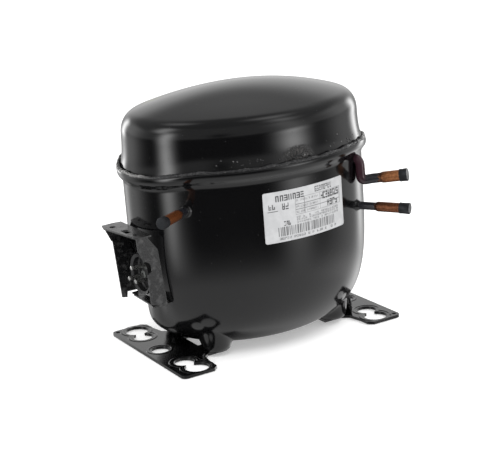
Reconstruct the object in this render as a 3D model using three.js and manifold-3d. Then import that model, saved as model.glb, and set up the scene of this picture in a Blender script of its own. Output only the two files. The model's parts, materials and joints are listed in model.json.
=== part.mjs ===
/**
 * Hermetic reciprocating compressor for a small refrigerator: an oval welded shell on two foot rails,
 * with a spring-hung motor and a scotch-yoke piston pump inside.
 *
 * Millimetres, +Z up. The drawing frame has the centre of the foot hole pattern at X = Y = 0 and the
 * underside of the feet at Z = 0. The cylinder lies along +X and the electrical terminal faces -X.
 * The finished assembly is moved so that its origin is the bottom centre of its bounding box.
 */
import * as THREE from 'three';
import { mergeVertices } from 'three/addons/utils/BufferGeometryUtils.js';
import Module from 'manifold-3d';

const wasm = await Module();
wasm.setup();

// ---------------------------------------------------------------- driving dimensions
const GAP = 0.3;                    // clearance between pieces that touch on the real machine
const SHEET = 3;                    // shell wall
const OVAL_SEGMENTS = 40;           // flats round the shell's outside
const LINING_SEGMENTS = 20;         // flats round its inside

// Oval shell. LONG is the half-axis along X, the short one follows from shortHalf().
const WALL_LONG = 98.2;             // lower shell wall
const WALL_SHORT = 78.8;
const LIP_LONG = 102.5;             // flared lip that takes the cover
const LIP_BOTTOM = 142;
const LIP_TOP = 150.8;
const BOWL_START = 125;             // below this height the wall turns into the bowl
const BOWL_BOTTOM = 3.2;
const BOWL_POWER = 4.2;             // superellipse power of the bowl's corner
const COVER_BASE_LONG = 99.2;       // cover skirt inside the lip
const COVER_LONG = 96.35;           // cover wall above the skirt
const COVER_SKIRT_BOTTOM = 145.6;
const SHOULDER_Z = 176;
const SHOULDER_RADIUS = 9;
const SHOULDER_TURN = 70;           // degrees of arc between the wall and the crown
const CROWN_TOP = 201.7;
const CROWN_DROP = 19.5;            // how far the crown falls from its centre to the wall

// Foot rails: two standard hole patterns share one keyhole at each corner.
const FOOT_SHEET = 2.4;
const FOOT_OUTER = 100.15;
const FOOT_INNER = 69.5;
const FOOT_HALF_LENGTH = 62;
const BIG_HOLE = { x: 82.55, y: 50.8, r: 9.5 };      // 165.1 x 101.6 pattern
const SMALL_HOLE = { x: 85, y: 35, r: 8.1 };         // 170 x 70 pattern
const MIDDLE_HOLE = { x: 87.6, y: 0, r: 7.5 };

// Spring suspension
const SPRING_X = 54;
const SPRING_Y = 31;
const BULGE_R = 11.5;               // pressed seats in the bowl, one under each spring
const BULGE_BOTTOM = 2.7;
const SPRING_LOW = 10.4;
const SPRING_HIGH = 45.6;
const SPRING_TURNS = 4;
const SPRING_STEPS = 32;
const SPRING_MEAN_R = 6.2;
const SPRING_WIRE_R = 1.1;
const SEAT_PIN_R = 4;

// Motor
const STATOR_LOW = 52;
const STATOR_HIGH = 94;
const STATOR_HALF_X = 62;
const STATOR_HALF_Y = 56;
const BORE_R = 31.3;
const ROTOR_R = 30.5;
const WINDING_INNER = 34;
const WINDING_OUTER = 53;
const WINDING_HEIGHT = 16.5;

// Pump
const SHAFT_R = 8;
const HUB_TOP = 121.5;
const WEB_LOW = 122.7;
const WEB_HIGH = 128;
const THROW = 7.85;                 // crank pin offset; the stroke is twice this
const PIN_R = 6;
const PIN_TOP = 151;
const CYLINDER_Z = 140;
const CYLINDER_R = 12.8;
const PISTON_R = 12.6;
const PISTON_FACE = 42;             // at the far end of the stroke from the valves
const PISTON_LENGTH = 20;
const BLOCK_FACE = 59;
const PLATE_FACE = 60;
const PLATE_THICK = 3;
const HEAD_FACE = 64;
const HEAD_TOP = 80;
const BLOCK_HALF_Y = 24;
const BLOCK_HALF_Z = 21.5;
const HEAD_BOLT_Y = 19.5;
const HEAD_BOLT_Z = 15.5;
const PORT_Y = 4.5;                 // suction port at -Y, discharge port at +Y
const PORT_Z = 6;                   // above the cylinder axis
const REED_ROOT_Z = -9.5;
const REED_HALF = 3.5;
const REED_SHEET = 0.4;

// Terminal and its guard on the -X side
const TERMINAL = { x: -97, y: -6.5, z: 69 };
const TERMINAL_R = 16;
const FENCE_SHEET = 1.2;
const FENCE_NEAR_Y = -30;
const FENCE_FAR_Y = 20;
const FENCE_TOP = 105;

// ---------------------------------------------------------------- materials
const paint = (color, roughness, metalness) => (
  new THREE.MeshStandardMaterial({ color, roughness, metalness }));
const BLACK_PAINT = [0x17181a, 0.22, 0.1];
const WELD = [0x2b2b2b, 0.55, 0.4];
const DARK_SHEET = [0x1d1d1f, 0.45, 0.3];
const COPPER = [0xa8643c, 0.35, 0.9];
const STEEL = [0x8d9096, 0.4, 0.9];
const SPRING_STEEL = [0x9a9da3, 0.3, 0.95];
const IRON = [0x5d5f62, 0.6, 0.7];
const ALUMINIUM = [0xb4b7bb, 0.45, 0.85];
const RUBBER = [0x141518, 0.6, 0];
const LABEL = [0xdfe1e3, 0.5, 0];
const PLASTIC = [0xd8d4c8, 0.5, 0];
const WIRE = [0xa04f24, 0.4, 0.8];
const GASKET = [0x4a5a50, 0.8, 0];
const BRASS = [0xb8963e, 0.35, 0.9];

// ---------------------------------------------------------------- solids
/** A closed three.js geometry as a manifold solid, with its faces turned outwards. */
function solid(geometry) {
  const bare = geometry.index ? geometry.toNonIndexed() : geometry.clone();
  bare.deleteAttribute('normal');
  bare.deleteAttribute('uv');
  const merged = mergeVertices(bare, 1e-4);
  const vertProperties = new Float32Array(merged.attributes.position.array);
  const corners = Array.from(merged.index.array);
  const triVerts = [];
  for (let i = 0; i < corners.length; i += 3) {
    const [a, b, c] = corners.slice(i, i + 3);
    if (a !== b && b !== c && a !== c) triVerts.push(a, b, c);
  }
  const made = (order) => new wasm.Manifold(new wasm.Mesh({
    numProp: 3, vertProperties, triVerts: new Uint32Array(order),
  }));
  const first = made(triVerts);
  return first.volume() > 0 ? first : made(triVerts.reverse());
}

/** A manifold solid as a three.js geometry. */
function geometryOf(body) {
  const mesh = body.getMesh();
  const geometry = new THREE.BufferGeometry();
  const positions = new Float32Array(mesh.vertProperties.length / mesh.numProp * 3);
  for (let i = 0; i < positions.length; i += 1) {
    positions[i] = mesh.vertProperties[Math.floor(i / 3) * mesh.numProp + i % 3];
  }
  geometry.setAttribute('position', new THREE.BufferAttribute(positions, 3));
  geometry.setIndex(new THREE.BufferAttribute(new Uint32Array(mesh.triVerts), 1));
  geometry.computeVertexNormals();
  return geometry;
}

const join = (...bodies) => bodies.reduce((all, body) => all.add(body));
const cut = (body, ...tools) => tools.reduce((left, tool) => left.subtract(tool), body);

/** A box between two corners. */
function box([x0, y0, z0], [x1, y1, z1]) {
  const geometry = new THREE.BoxGeometry(x1 - x0, y1 - y0, z1 - z0);
  geometry.translate((x0 + x1) / 2, (y0 + y1) / 2, (z0 + z1) / 2);
  return solid(geometry);
}

/** A [radius, height] profile turned about Z. It starts and ends on the axis, or closes on itself. */
function turned(profile, segments = 24) {
  const points = profile.map(([r, z]) => new THREE.Vector2(r, z));
  const geometry = new THREE.LatheGeometry(points, segments);
  geometry.rotateX(Math.PI / 2);
  return solid(geometry);
}

/** A closed ring of rectangular section about Z. */
function ring(inner, outer, low, high, segments = 24) {
  return turned([[inner, low], [outer, low], [outer, high], [inner, high], [inner, low]], segments);
}

/** A cylinder about Z. */
function rod(r, low, high, segments = 24) {
  return turned([[0, low], [r, low], [r, high], [0, high]], segments);
}

/** A cylinder from (x0, y, z) along +X. */
const rodX = (r, x0, x1, y, z, segments = 24) => (
  rod(r, x0, x1, segments).rotate([0, 90, 0]).translate([0, y, z]));

/** An outline of [x, y] points, with optional holes, extruded from low to high. */
function slab(outline, low, high, holes = []) {
  const shape = new THREE.Shape(outline.map(([x, y]) => new THREE.Vector2(x, y)));
  shape.holes = holes;
  const depth = high - low;
  const geometry = new THREE.ExtrudeGeometry(shape, { depth, bevelEnabled: false, curveSegments: 12 });
  geometry.translate(0, 0, low);
  return solid(geometry);
}

/** An outline of [x, z] points standing in the XZ plane, from y0 to y1. */
const wall = (outline, y0, y1) => slab(outline, -y1, -y0).rotate([90, 0, 0]);

/** An outline of [y, z] points standing in the YZ plane, from x0 to x1. */
const plateX = (outline, x0, x1) => slab(outline, x0, x1).rotate([90, 0, 90]);

/** A round hole for slab(). */
function hole(x, y, r) {
  const path = new THREE.Path();
  path.absarc(x, y, r, 0, 2 * Math.PI, true);
  return path;
}

const CORNERS = [[1, -1], [1, 1], [-1, 1], [-1, -1]];

/** Points on an arc, angles in degrees. */
function arc(cx, cy, r, from, to, steps) {
  return Array.from({ length: steps + 1 }, (_, i) => {
    const angle = THREE.MathUtils.degToRad(from + (to - from) * i / steps);
    return [cx + r * Math.cos(angle), cy + r * Math.sin(angle)];
  });
}

/** A rectangle about (cx, cy) with round corners. */
function roundedRect(halfX, halfY, r, cx = 0, cy = 0, steps = 4) {
  return [[1, 1, 0], [-1, 1, 90], [-1, -1, 180], [1, -1, 270]].flatMap(([sx, sy, start]) => (
    arc(cx + sx * (halfX - r), cy + sy * (halfY - r), r, start, start + 90, steps)));
}

/** A round bar, or a pipe when bore is given, along a smooth curve through the points. */
function pipe(points, r, { bore = 0, steps = 24, sides = 10 } = {}) {
  const through = points.map((p) => new THREE.Vector3(...p));
  const curve = new THREE.CatmullRomCurve3(through, false, 'centripetal');
  const section = new THREE.Shape().absarc(0, 0, r, 0, 2 * Math.PI, false);
  if (bore > 0) section.holes = [hole(0, 0, bore)];
  return solid(new THREE.ExtrudeGeometry(section, {
    steps, extrudePath: curve, curveSegments: sides / 2, bevelEnabled: false,
  }));
}

// ---------------------------------------------------------------- the shell's oval
/** The short half-axis that goes with a long one: an even offset at the wall, a plain oval at the centre. */
function shortHalf(long) {
  const inward = 1 - Math.min(1, long / WALL_LONG);
  return long - (WALL_LONG - WALL_SHORT) * (1 - inward ** 2);
}

/** A [long half-axis, height] profile carried round the oval. */
function oval(profile, segments = OVAL_SEGMENTS) {
  const geometry = new THREE.LatheGeometry(profile.map(([r, z]) => new THREE.Vector2(r, z)), segments);
  geometry.rotateX(Math.PI / 2);
  const { position } = geometry.attributes;
  for (let i = 0; i < position.count; i += 1) {
    const r = Math.hypot(position.getX(i), position.getY(i));
    if (r > 1e-6) position.setY(i, position.getY(i) * shortHalf(r) / r);
  }
  return solid(geometry);
}

/** Bowl profile from the bottom centre up to the straight wall, `inset` inside the outer face. */
function bowlProfile(inset, steps = 8) {
  return Array.from({ length: steps + 1 }, (_, i) => {
    const turn = Math.PI / 2 * (1 - i / steps);
    const long = (WALL_LONG - inset) * Math.cos(turn) ** (2 / BOWL_POWER);
    const drop = (BOWL_START - BOWL_BOTTOM - inset) * Math.sin(turn) ** (2 / BOWL_POWER);
    return [i === 0 ? 0 : long, BOWL_START - drop];
  });
}

/** Cover profile from the skirt's foot up to the crown's centre, `inset` inside the outer face. */
function coverProfile(inset) {
  const turnR = SHOULDER_RADIUS - inset;
  const shoulder = arc(COVER_LONG - SHOULDER_RADIUS, SHOULDER_Z, turnR, 0, SHOULDER_TURN, 4);
  const crown = [0.78, 0.55, 0.28, 0].map((share) => (
    [COVER_LONG * share, CROWN_TOP - inset - CROWN_DROP * share ** 2]));
  return [
    [COVER_BASE_LONG - inset, COVER_SKIRT_BOTTOM], [COVER_BASE_LONG - inset, LIP_TOP],
    [COVER_LONG - inset + 0.95, LIP_TOP + 7], [COVER_LONG - inset + 0.2, LIP_TOP + 15],
    ...shoulder, ...crown,
  ];
}

/** The four pressed spring seats of the bowl, `inset` inside their outer face. */
function seatCups(inset) {
  const r = BULGE_R - inset;
  const low = BULGE_BOTTOM + inset;
  const section = [[0, low], [r - 2.5, low], [r - 0.7, low + 0.8], [r, low + 2.5], [r, 23], [0, 29]];
  const cup = turned(section, 16);
  return CORNERS.map(([sx, sy]) => cup.translate([sx * SPRING_X, sy * SPRING_Y, 0]));
}

/** The lower shell filled in, with `grow` added all round: it trims what is welded on. */
const shellBlock = (grow) => (
  oval([...bowlProfile(-grow), [WALL_LONG + grow, LIP_BOTTOM], [0, LIP_BOTTOM]]));

// ---------------------------------------------------------------- the assembly
const compressor = new THREE.Group();

/** The turn that takes Z to a direction. */
function turnTo(direction) {
  const up = new THREE.Vector3(0, 0, 1);
  return new THREE.Quaternion().setFromUnitVectors(up, new THREE.Vector3(...direction).normalize());
}

/** Adds one named piece; body may be placed by an origin and the direction its own Z takes. */
function piece(name, body, look, origin = null, direction = null) {
  const mesh = new THREE.Mesh(geometryOf(body), paint(...look));
  mesh.name = name;
  if (origin) mesh.position.set(...origin);
  if (direction) mesh.quaternion.copy(turnTo(direction));
  compressor.add(mesh);
}

/** A body made about Z, moved to an origin and turned so that its Z takes a direction. */
function aimed(body, origin, direction) {
  const place = new THREE.Matrix4();
  place.compose(new THREE.Vector3(...origin), turnTo(direction), new THREE.Vector3(1, 1, 1));
  return body.transform(place.elements);
}

// Shell tubes: where each leaves the wall, which way it points, and its sizes.
const DISCHARGE = {
  root: [64.4, -59.5, 100.4], out: [0.572, -0.82, -0.018],
  neckR: 3.1, endR: 3.9, inside: -6, flare: 15, end: 39.5, capStart: 34.8, capEnd: 43.4, capR: 4.4,
};
const PROCESS = {
  root: [-79, -46.7, 122.5], out: [-0.735, -0.67, 0.095],
  neckR: 3.3, endR: 3.9, inside: -6, flare: 14, end: 43, capStart: 37.5, capEnd: 48, capR: 4.9,
};
const SUCTION = {
  root: [70.8, -61.8, 120.4], out: [0.652, -0.752, 0.12],
  neckR: 4.1, endR: 4.4, inside: 8, flare: 12, end: 31.5, capStart: 28.5, capEnd: 34.6, capR: 4.9,
};
const SUCTION_INLET = [[63.2, -51, 134.3], [68.4, -57.2, 134.3], [71.1, -60.8, 130]];
const TUBE_WALL = 0.9;

// ---- shell
{
  const outer = oval([...bowlProfile(0), [WALL_LONG, LIP_BOTTOM], [LIP_LONG - 0.3, LIP_BOTTOM + 2.6],
    [LIP_LONG, LIP_TOP], [0, LIP_TOP]]);
  const inner = oval([...bowlProfile(SHEET, 7), [WALL_LONG - SHEET, LIP_TOP + 1], [0, LIP_TOP + 1]],
    LINING_SEGMENTS);
  const socket = oval([[0, LIP_BOTTOM + 3.2], [COVER_BASE_LONG + GAP, LIP_BOTTOM + 3.2],
    [COVER_BASE_LONG + GAP, LIP_TOP + 1], [0, LIP_TOP + 1]]);
  const seatsOut = seatCups(0);
  const seatsIn = seatCups(SHEET);
  const tubeHole = (tube) => aimed(rod(tube.neckR + GAP, -14, 14, 14), tube.root, tube.out);
  const [inletFrom, inletTo] = SUCTION_INLET;
  const inletWay = inletTo.map((value, axis) => value - inletFrom[axis]);
  const inletHole = aimed(rod(SUCTION.neckR + 2 * GAP, -6, 10, 14), inletFrom, inletWay);
  const { x, y, z } = TERMINAL;
  const terminalHole = rodX(TERMINAL_R + GAP, x - 10, x + 14, y, z, 28);
  const holes = [tubeHole(DISCHARGE), tubeHole(PROCESS), inletHole, terminalHole];
  piece('lower_shell', cut(join(outer, ...seatsOut), inner, socket, ...seatsIn, ...holes), BLACK_PAINT);

  const skirtIn = COVER_BASE_LONG - SHEET;
  const skirtFoot = COVER_SKIRT_BOTTOM - 1;
  const coverIn = oval([[0, skirtFoot], [skirtIn, skirtFoot], ...coverProfile(SHEET)], LINING_SEGMENTS);
  const coverOut = oval([[0, COVER_SKIRT_BOTTOM], ...coverProfile(0)]);
  piece('top_cover', cut(coverOut, coverIn), BLACK_PAINT);

  const beadFoot = [COVER_BASE_LONG + 0.4, LIP_TOP + GAP];
  const bead = oval([beadFoot, [LIP_LONG, LIP_TOP + GAP], [LIP_LONG + 0.2, LIP_TOP + 1.4],
    [LIP_LONG - 0.9, LIP_TOP + 2.8], [LIP_LONG - 2.4, LIP_TOP + 3.6], [LIP_LONG - 3.6, LIP_TOP + 3.6],
    beadFoot]);
  const runOut = wall([[LIP_LONG - 4, LIP_TOP + 2], [LIP_LONG + 1, LIP_TOP + 1],
    [LIP_LONG + 2.6, LIP_TOP + 5], [LIP_LONG + 0.6, LIP_TOP + 9], [LIP_LONG - 2.5, LIP_TOP + 6]], -4, 5);
  const skinLong = COVER_BASE_LONG + GAP;
  const coverSkin = oval([[0, LIP_TOP - 1], [skinLong, LIP_TOP - 1], [skinLong, LIP_TOP],
    [COVER_LONG + 1.25, LIP_TOP + 7], [COVER_LONG + 0.5, LIP_TOP + 15], [0, LIP_TOP + 15]]);
  piece('weld_seam', join(bead, cut(runOut, coverSkin)), WELD);

  const labelBand = oval([[WALL_LONG + 0.3, 88], [WALL_LONG + 0.7, 88], [WALL_LONG + 0.7, 136],
    [WALL_LONG + 0.3, 136], [WALL_LONG + 0.3, 88]], 112);
  const labelCutter = wall(roundedRect(36.3, 19.4, 4, 6.6, 111.6), -90, -40);
  piece('nameplate', labelBand.intersect(labelCutter), LABEL);
}

// ---- foot rails: one outline used twice, turned half round, and a welding ear on the right one
for (const [name, turn] of [['foot_rail_left', 180], ['foot_rail_right', 0]]) {
  const quarter = [
    ...arc(FOOT_OUTER - 4, FOOT_HALF_LENGTH - 4, 4, 0, 90, 3), [FOOT_INNER + 4, FOOT_HALF_LENGTH],
    [FOOT_INNER, FOOT_HALF_LENGTH - 4], [FOOT_INNER, 49], [67.4, 36.5], [62, 32],
    [46, 32], [46, 14], [60.5, 12],
  ];
  const mirrored = quarter.map(([x, y]) => [x, -y]).reverse();
  const outline = [...quarter, ...mirrored];
  const holes = [hole(MIDDLE_HOLE.x, MIDDLE_HOLE.y, MIDDLE_HOLE.r)];
  const plate = slab(outline, 0, FOOT_SHEET, holes);
  const keyholes = [-1, 1].flatMap((sy) => [BIG_HOLE, SMALL_HOLE].map((h) => (
    rod(h.r, -1, FOOT_SHEET + 1, 24).translate([h.x, sy * h.y, 0]))));
  const dimple = rod(1.8, -1, FOOT_SHEET + 1, 12).translate([96.2, -57.6, 0]);
  const ear = plateX([[-31, 1], [-18, 1], [-18, 12], [-22, 21], [-27, 21], [-31, 12]], 71, 73.4);
  const blank = turn === 0 ? join(plate, ear) : plate;
  const rail = cut(blank, ...keyholes, dimple, shellBlock(GAP), ...seatCups(-GAP));
  piece(name, rail.rotate([0, 0, turn]), BLACK_PAINT);
}

// ---- tubes and their rubber plugs
/** A straight pipe about Z whose end is swaged out from the neck radius to the end radius. */
function swagedPipe({ neckR, endR, inside, flare, end }) {
  const bore = neckR - TUBE_WALL;
  const wide = endR - TUBE_WALL;
  return turned([[bore, inside], [neckR, inside], [neckR, flare], [endR, flare + 2.5], [endR, end],
    [wide, end], [wide, flare + 2.5], [bore, flare], [bore, inside]], 14);
}

/** A rubber cup pushed over a pipe's end. */
function plug({ endR, end, capStart, capEnd, capR }) {
  const inner = endR + GAP;
  return turned([[0, end + GAP], [inner, end + GAP], [inner, capStart], [capR, capStart],
    [capR + 0.2, capEnd - 1.2], [capR - 0.8, capEnd], [0, capEnd]], 16);
}

/** A small brazed collar where a tube leaves the wall. */
const collar = (tube, at, r) => ring(tube.neckR - 0.3, r, at, at + 1.2, 14);

piece('discharge_tube', join(swagedPipe(DISCHARGE), collar(DISCHARGE, 5, 5.6)), COPPER,
  DISCHARGE.root, DISCHARGE.out);
piece('discharge_tube_plug', plug(DISCHARGE), RUBBER, DISCHARGE.root, DISCHARGE.out);
piece('process_tube', swagedPipe(PROCESS), COPPER, PROCESS.root, PROCESS.out);
piece('process_tube_plug', plug(PROCESS), RUBBER, PROCESS.root, PROCESS.out);
{
  const out = new THREE.Vector3(...SUCTION.out).normalize();
  const at = (distance) => new THREE.Vector3(...SUCTION.root).addScaledVector(out, distance).toArray();
  const route = [...SUCTION_INLET, [71.1, -61.4, 124.6], at(4), at(8), at(SUCTION.inside + 4)];
  const bend = pipe(route, SUCTION.neckR, { bore: SUCTION.neckR - TUBE_WALL, steps: 12, sides: 10 });
  const straight = aimed(swagedPipe({ ...SUCTION, inside: SUCTION.inside + 3.5 }), SUCTION.root, SUCTION.out);
  piece('suction_tube', join(bend, straight), COPPER);
  piece('suction_tube_plug', plug(SUCTION), RUBBER, SUCTION.root, SUCTION.out);
}

// ---- terminal
{
  const { x, y, z } = TERMINAL;
  const cup = turned([[0, -1.5], [12.5, -1.5], [13.5, -0.5], [13.5, 3.5], [TERMINAL_R, 4.5],
    [TERMINAL_R, 2.5], [15, 1.5], [15, -2.5], [13.5, -4.5], [0, -4.5]], 24);
  const pins = [
    ['terminal_pin_common', 0, 6.5], ['terminal_pin_start', 5.5, -3], ['terminal_pin_run', -5.5, -3],
  ];
  const drills = pins.map(([, py, pz]) => rodX(1.6 + GAP, -10, 10, py, pz, 10));
  piece('terminal_cup', cut(cup.rotate([0, -90, 0]), ...drills).translate([x, y, z]), STEEL);
  for (const [name, py, pz] of pins) piece(name, rodX(1.6, x - 11, x + 13, y + py, z + pz, 10), STEEL);
  const block = box([x + 9, y - 14, z - 10], [x + 19, y + 14, z + 13]);
  const sockets = pins.map(([, py, pz]) => rodX(1.6 + GAP, x + 8, x + 14, y + py, z + pz, 10));
  piece('terminal_connector', cut(block, ...sockets), PLASTIC);

  const nearWall = wall([[-112.4, FENCE_TOP], [-104.2, FENCE_TOP], [-95.9, 93.3], [-94.8, 83],
    [-91.7, 47.4], [-105.2, 51.4], [-105.7, 75.3], [-102.3, 77.4], ...arc(-109.5, 78.6, 7.6, 0, 80, 4),
    [-111.9, 94.6]], FENCE_NEAR_Y, FENCE_NEAR_Y + FENCE_SHEET);
  const farLow = wall([[-109.6, 92], [-106.5, 50], [-106.2, 45.1], [-102, 44.3], [-101.4, 48.9],
    [-86, 48.6], [-86, 92]], FENCE_FAR_Y - FENCE_SHEET, FENCE_FAR_Y);
  const farHigh = wall([[-109.8, 91.2], [-90, 91.2], [-90, 94], [-102, FENCE_TOP], [-116.4, FENCE_TOP],
    [-114.4, 101.3]], FENCE_FAR_Y - 0.4, FENCE_FAR_Y + FENCE_SHEET);
  const clipSlot = new THREE.Path(CORNERS.map(([sx, sy]) => (
    new THREE.Vector2(-109.6 + 2.6 * sx, -8 + 5 * sy))).reverse());
  const flange = slab([[-106, 22], [-116.4, 21.2], [-118.6, 13], [-112.4, -30], [-100, -30], [-100, 21]],
    FENCE_TOP - FENCE_SHEET, FENCE_TOP, [hole(-112, 11, 2.4), clipSlot, hole(-108.4, -21, 2)]);
  const footTop = 48.4 + FENCE_SHEET;
  const foot = slab([[-101.5, 8], [-102.5, -21], [-104, -29.6], [-86, -29.6], [-86, 8]], 48.4, footTop);
  const tongue = slab([[-100, 7], [-100.5, 13], [-86, 14], [-86, 7]], 48.4, footTop);
  const fence = cut(join(nearWall, farLow, farHigh, flange, foot, tongue), shellBlock(GAP));
  piece('terminal_fence', fence, DARK_SHEET);
  piece('earth_screw', turned([[0, 0], [1.7, 0], [1.7, 3.2], [3.4, 3.2], [3.2, 5], [0, 5.6]], 16), STEEL,
    [-107.6, FENCE_NEAR_Y + FENCE_SHEET + 5.8, 99.2], [0, -1, 0]);
}

// ---- motor and pump, hung on four springs
CORNERS.forEach(([sx, sy], i) => {
  const at = [sx * SPRING_X, sy * SPRING_Y, 0];
  const floor = BULGE_BOTTOM + SHEET + GAP;
  piece(`spring_stud_${i + 1}`, turned([[0, floor], [5, floor], [7.3, floor + 2.5], [7.3, SPRING_LOW - GAP],
    [SEAT_PIN_R, SPRING_LOW - GAP], [SEAT_PIN_R, 18], [SEAT_PIN_R - 1.5, 20], [0, 20]], 14), PLASTIC, at);
  const rise = SPRING_HIGH - SPRING_LOW - 2 * SPRING_WIRE_R;
  const coil = Array.from({ length: SPRING_STEPS + 1 }, (_, k) => {
    const angle = 2 * Math.PI * SPRING_TURNS * k / SPRING_STEPS;
    const height = SPRING_LOW + SPRING_WIRE_R + rise * k / SPRING_STEPS;
    return [SPRING_MEAN_R * Math.cos(angle), SPRING_MEAN_R * Math.sin(angle), height];
  });
  const wire = pipe(coil, SPRING_WIRE_R, { steps: SPRING_STEPS, sides: 6 });
  piece(`suspension_spring_${i + 1}`, wire, SPRING_STEEL, at);
  piece(`stator_bolt_${i + 1}`, turned([[0, 36], [SEAT_PIN_R - 1.5, 36], [SEAT_PIN_R, 38],
    [SEAT_PIN_R, SPRING_HIGH + GAP], [7.3, SPRING_HIGH + GAP], [7.3, STATOR_LOW - GAP],
    [2.5, STATOR_LOW - GAP], [2.5, 115], [0, 115]], 12), STEEL, at);
});

const boltHoles = (r, low, high) => CORNERS.map(([sx, sy]) => (
  rod(r, low, high, 12).translate([sx * SPRING_X, sy * SPRING_Y, 0])));

{
  const SLOTS = 24;
  const slotted = Array.from({ length: SLOTS }, (_, i) => {
    const mid = i * 360 / SLOTS;
    const tooth = arc(0, 0, BORE_R, mid - 5.5, mid + 2, 1);
    return [...tooth, ...arc(0, 0, BORE_R + 13, mid + 2.4, mid + 9, 1)];
  }).flat();
  const bore = slab(slotted, STATOR_LOW - 1, STATOR_HIGH + 1);
  const block = slab(roundedRect(STATOR_HALF_X, STATOR_HALF_Y, 20, 0, 0, 5), STATOR_LOW, STATOR_HIGH);
  piece('stator_core', cut(block, bore, ...boltHoles(2.9, STATOR_LOW - 1, STATOR_HIGH + 1)), IRON);
  const ends = [['winding_upper', STATOR_HIGH + GAP], ['winding_lower', STATOR_LOW - GAP - WINDING_HEIGHT]];
  for (const [name, low] of ends) {
    const high = low + WINDING_HEIGHT;
    piece(name, turned([[WINDING_INNER, low], [WINDING_OUTER - 2, low], [WINDING_OUTER, low + 4],
      [WINDING_OUTER, high - 4], [WINDING_OUTER - 5, high], [WINDING_INNER + 3, high],
      [WINDING_INNER, high - 3], [WINDING_INNER, low]], 28), WIRE);
  }
}

{
  const hub = rod(15, 98, HUB_TOP, 24);
  const flange = slab(roundedRect(58, 38, 8), 112.5, HUB_TOP);
  const legs = CORNERS.map(([sx, sy]) => (
    rod(7, STATOR_HIGH + GAP, 113, 14).translate([sx * SPRING_X, sy * SPRING_Y, 0])));
  const block = box([25, -BLOCK_HALF_Y, HUB_TOP - 3], [BLOCK_FACE, BLOCK_HALF_Y, CYLINDER_Z + BLOCK_HALF_Z]);
  const headHoles = CORNERS.map(([sy, sz]) => rodX(2.9, 38, BLOCK_FACE + 1, sy * HEAD_BOLT_Y,
    CYLINDER_Z + sz * HEAD_BOLT_Z, 10));
  piece('crankcase', cut(join(hub, flange, ...legs, block), rod(SHAFT_R + GAP, 90, 130, 24),
    rodX(CYLINDER_R, 20, BLOCK_FACE + 1, 0, CYLINDER_Z, 32), ...headHoles, ...boltHoles(2.9, 90, 116)), IRON);
}

{
  const face = roundedRect(BLOCK_HALF_Y, BLOCK_HALF_Z, 3, 0, CYLINDER_Z, 2);
  const bolts = (x0, x1) => CORNERS.map(([sy, sz]) => (
    rodX(2.9, x0, x1, sy * HEAD_BOLT_Y, CYLINDER_Z + sz * HEAD_BOLT_Z, 10)));
  const cavity = (x0, x1) => [[-15, -1], [0.8, 15]].map(([y0, y1]) => (
    box([x0, y0, CYLINDER_Z - 17], [x1, y1, CYLINDER_Z + 17])));
  const sheet = (x0, x1) => cut(plateX(face, x0, x1), ...bolts(x0 - 1, x1 + 1));
  const ports = [-PORT_Y, PORT_Y].map((py) => (
    rodX(2.6, PLATE_FACE - 1, PLATE_FACE + PLATE_THICK + 1, py, CYLINDER_Z + PORT_Z, 16)));
  const plateBack = PLATE_FACE + PLATE_THICK;
  piece('cylinder_gasket', cut(sheet(BLOCK_FACE + 0.15, PLATE_FACE - 0.15),
    rodX(13.6, BLOCK_FACE - 1, PLATE_FACE + 1, 0, CYLINDER_Z, 24)), GASKET);
  piece('valve_plate', cut(sheet(PLATE_FACE, plateBack), ...ports), STEEL);
  piece('head_gasket', cut(sheet(plateBack + 0.15, HEAD_FACE - 0.15), ...cavity(plateBack, HEAD_FACE + 1)),
    GASKET);
  const inlet = box([66, -30, CYLINDER_Z - 4], [74, -10, CYLINDER_Z + 4]);
  const outlet = box([67, 10, CYLINDER_Z - 3], [73, 30, CYLINDER_Z + 3]);
  const headHollows = [...bolts(HEAD_FACE - 1, HEAD_TOP + 1), ...cavity(HEAD_FACE - 1, HEAD_TOP - 4)];
  piece('cylinder_head', cut(plateX(face, HEAD_FACE, HEAD_TOP), ...headHollows, inlet, outlet), ALUMINIUM);
  CORNERS.forEach(([sy, sz], i) => {
    const bolt = turned([[0, 40], [2.5, 40], [2.5, HEAD_TOP + GAP], [4.3, HEAD_TOP + GAP],
      [4.3, HEAD_TOP + 4.2], [2, HEAD_TOP + 4.2], [2, HEAD_TOP + 2], [0, HEAD_TOP + 2]], 12);
    const at = [0, sy * HEAD_BOLT_Y, CYLINDER_Z + sz * HEAD_BOLT_Z];
    piece(`head_bolt_${i + 1}`, bolt.rotate([0, 90, 0]), STEEL, at);
  });

  /** A spring tongue: straight at its root and round over its port. */
  const reed = (py) => [
    [py - REED_HALF, CYLINDER_Z + REED_ROOT_Z], [py + REED_HALF, CYLINDER_Z + REED_ROOT_Z],
    ...arc(py, CYLINDER_Z + PORT_Z, REED_HALF, 0, 180, 8)];
  const suctionFace = PLATE_FACE - 0.15;
  const dischargeFace = plateBack + 0.15;
  piece('suction_reed', plateX(reed(-PORT_Y), suctionFace - REED_SHEET, suctionFace), SPRING_STEEL);
  piece('discharge_reed', plateX(reed(PORT_Y), dischargeFace, dischargeFace + REED_SHEET), SPRING_STEEL);
  const stop = wall([[plateBack + 0.2, 125.5], [plateBack + 3.4, 125.5], [plateBack + 3.4, 152],
    [plateBack + 2.4, 152], [plateBack + 2.1, 129], [plateBack + 0.2, 129]], PORT_Y - 3, PORT_Y + 3);
  piece('valve_stop', stop, STEEL);
}

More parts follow.
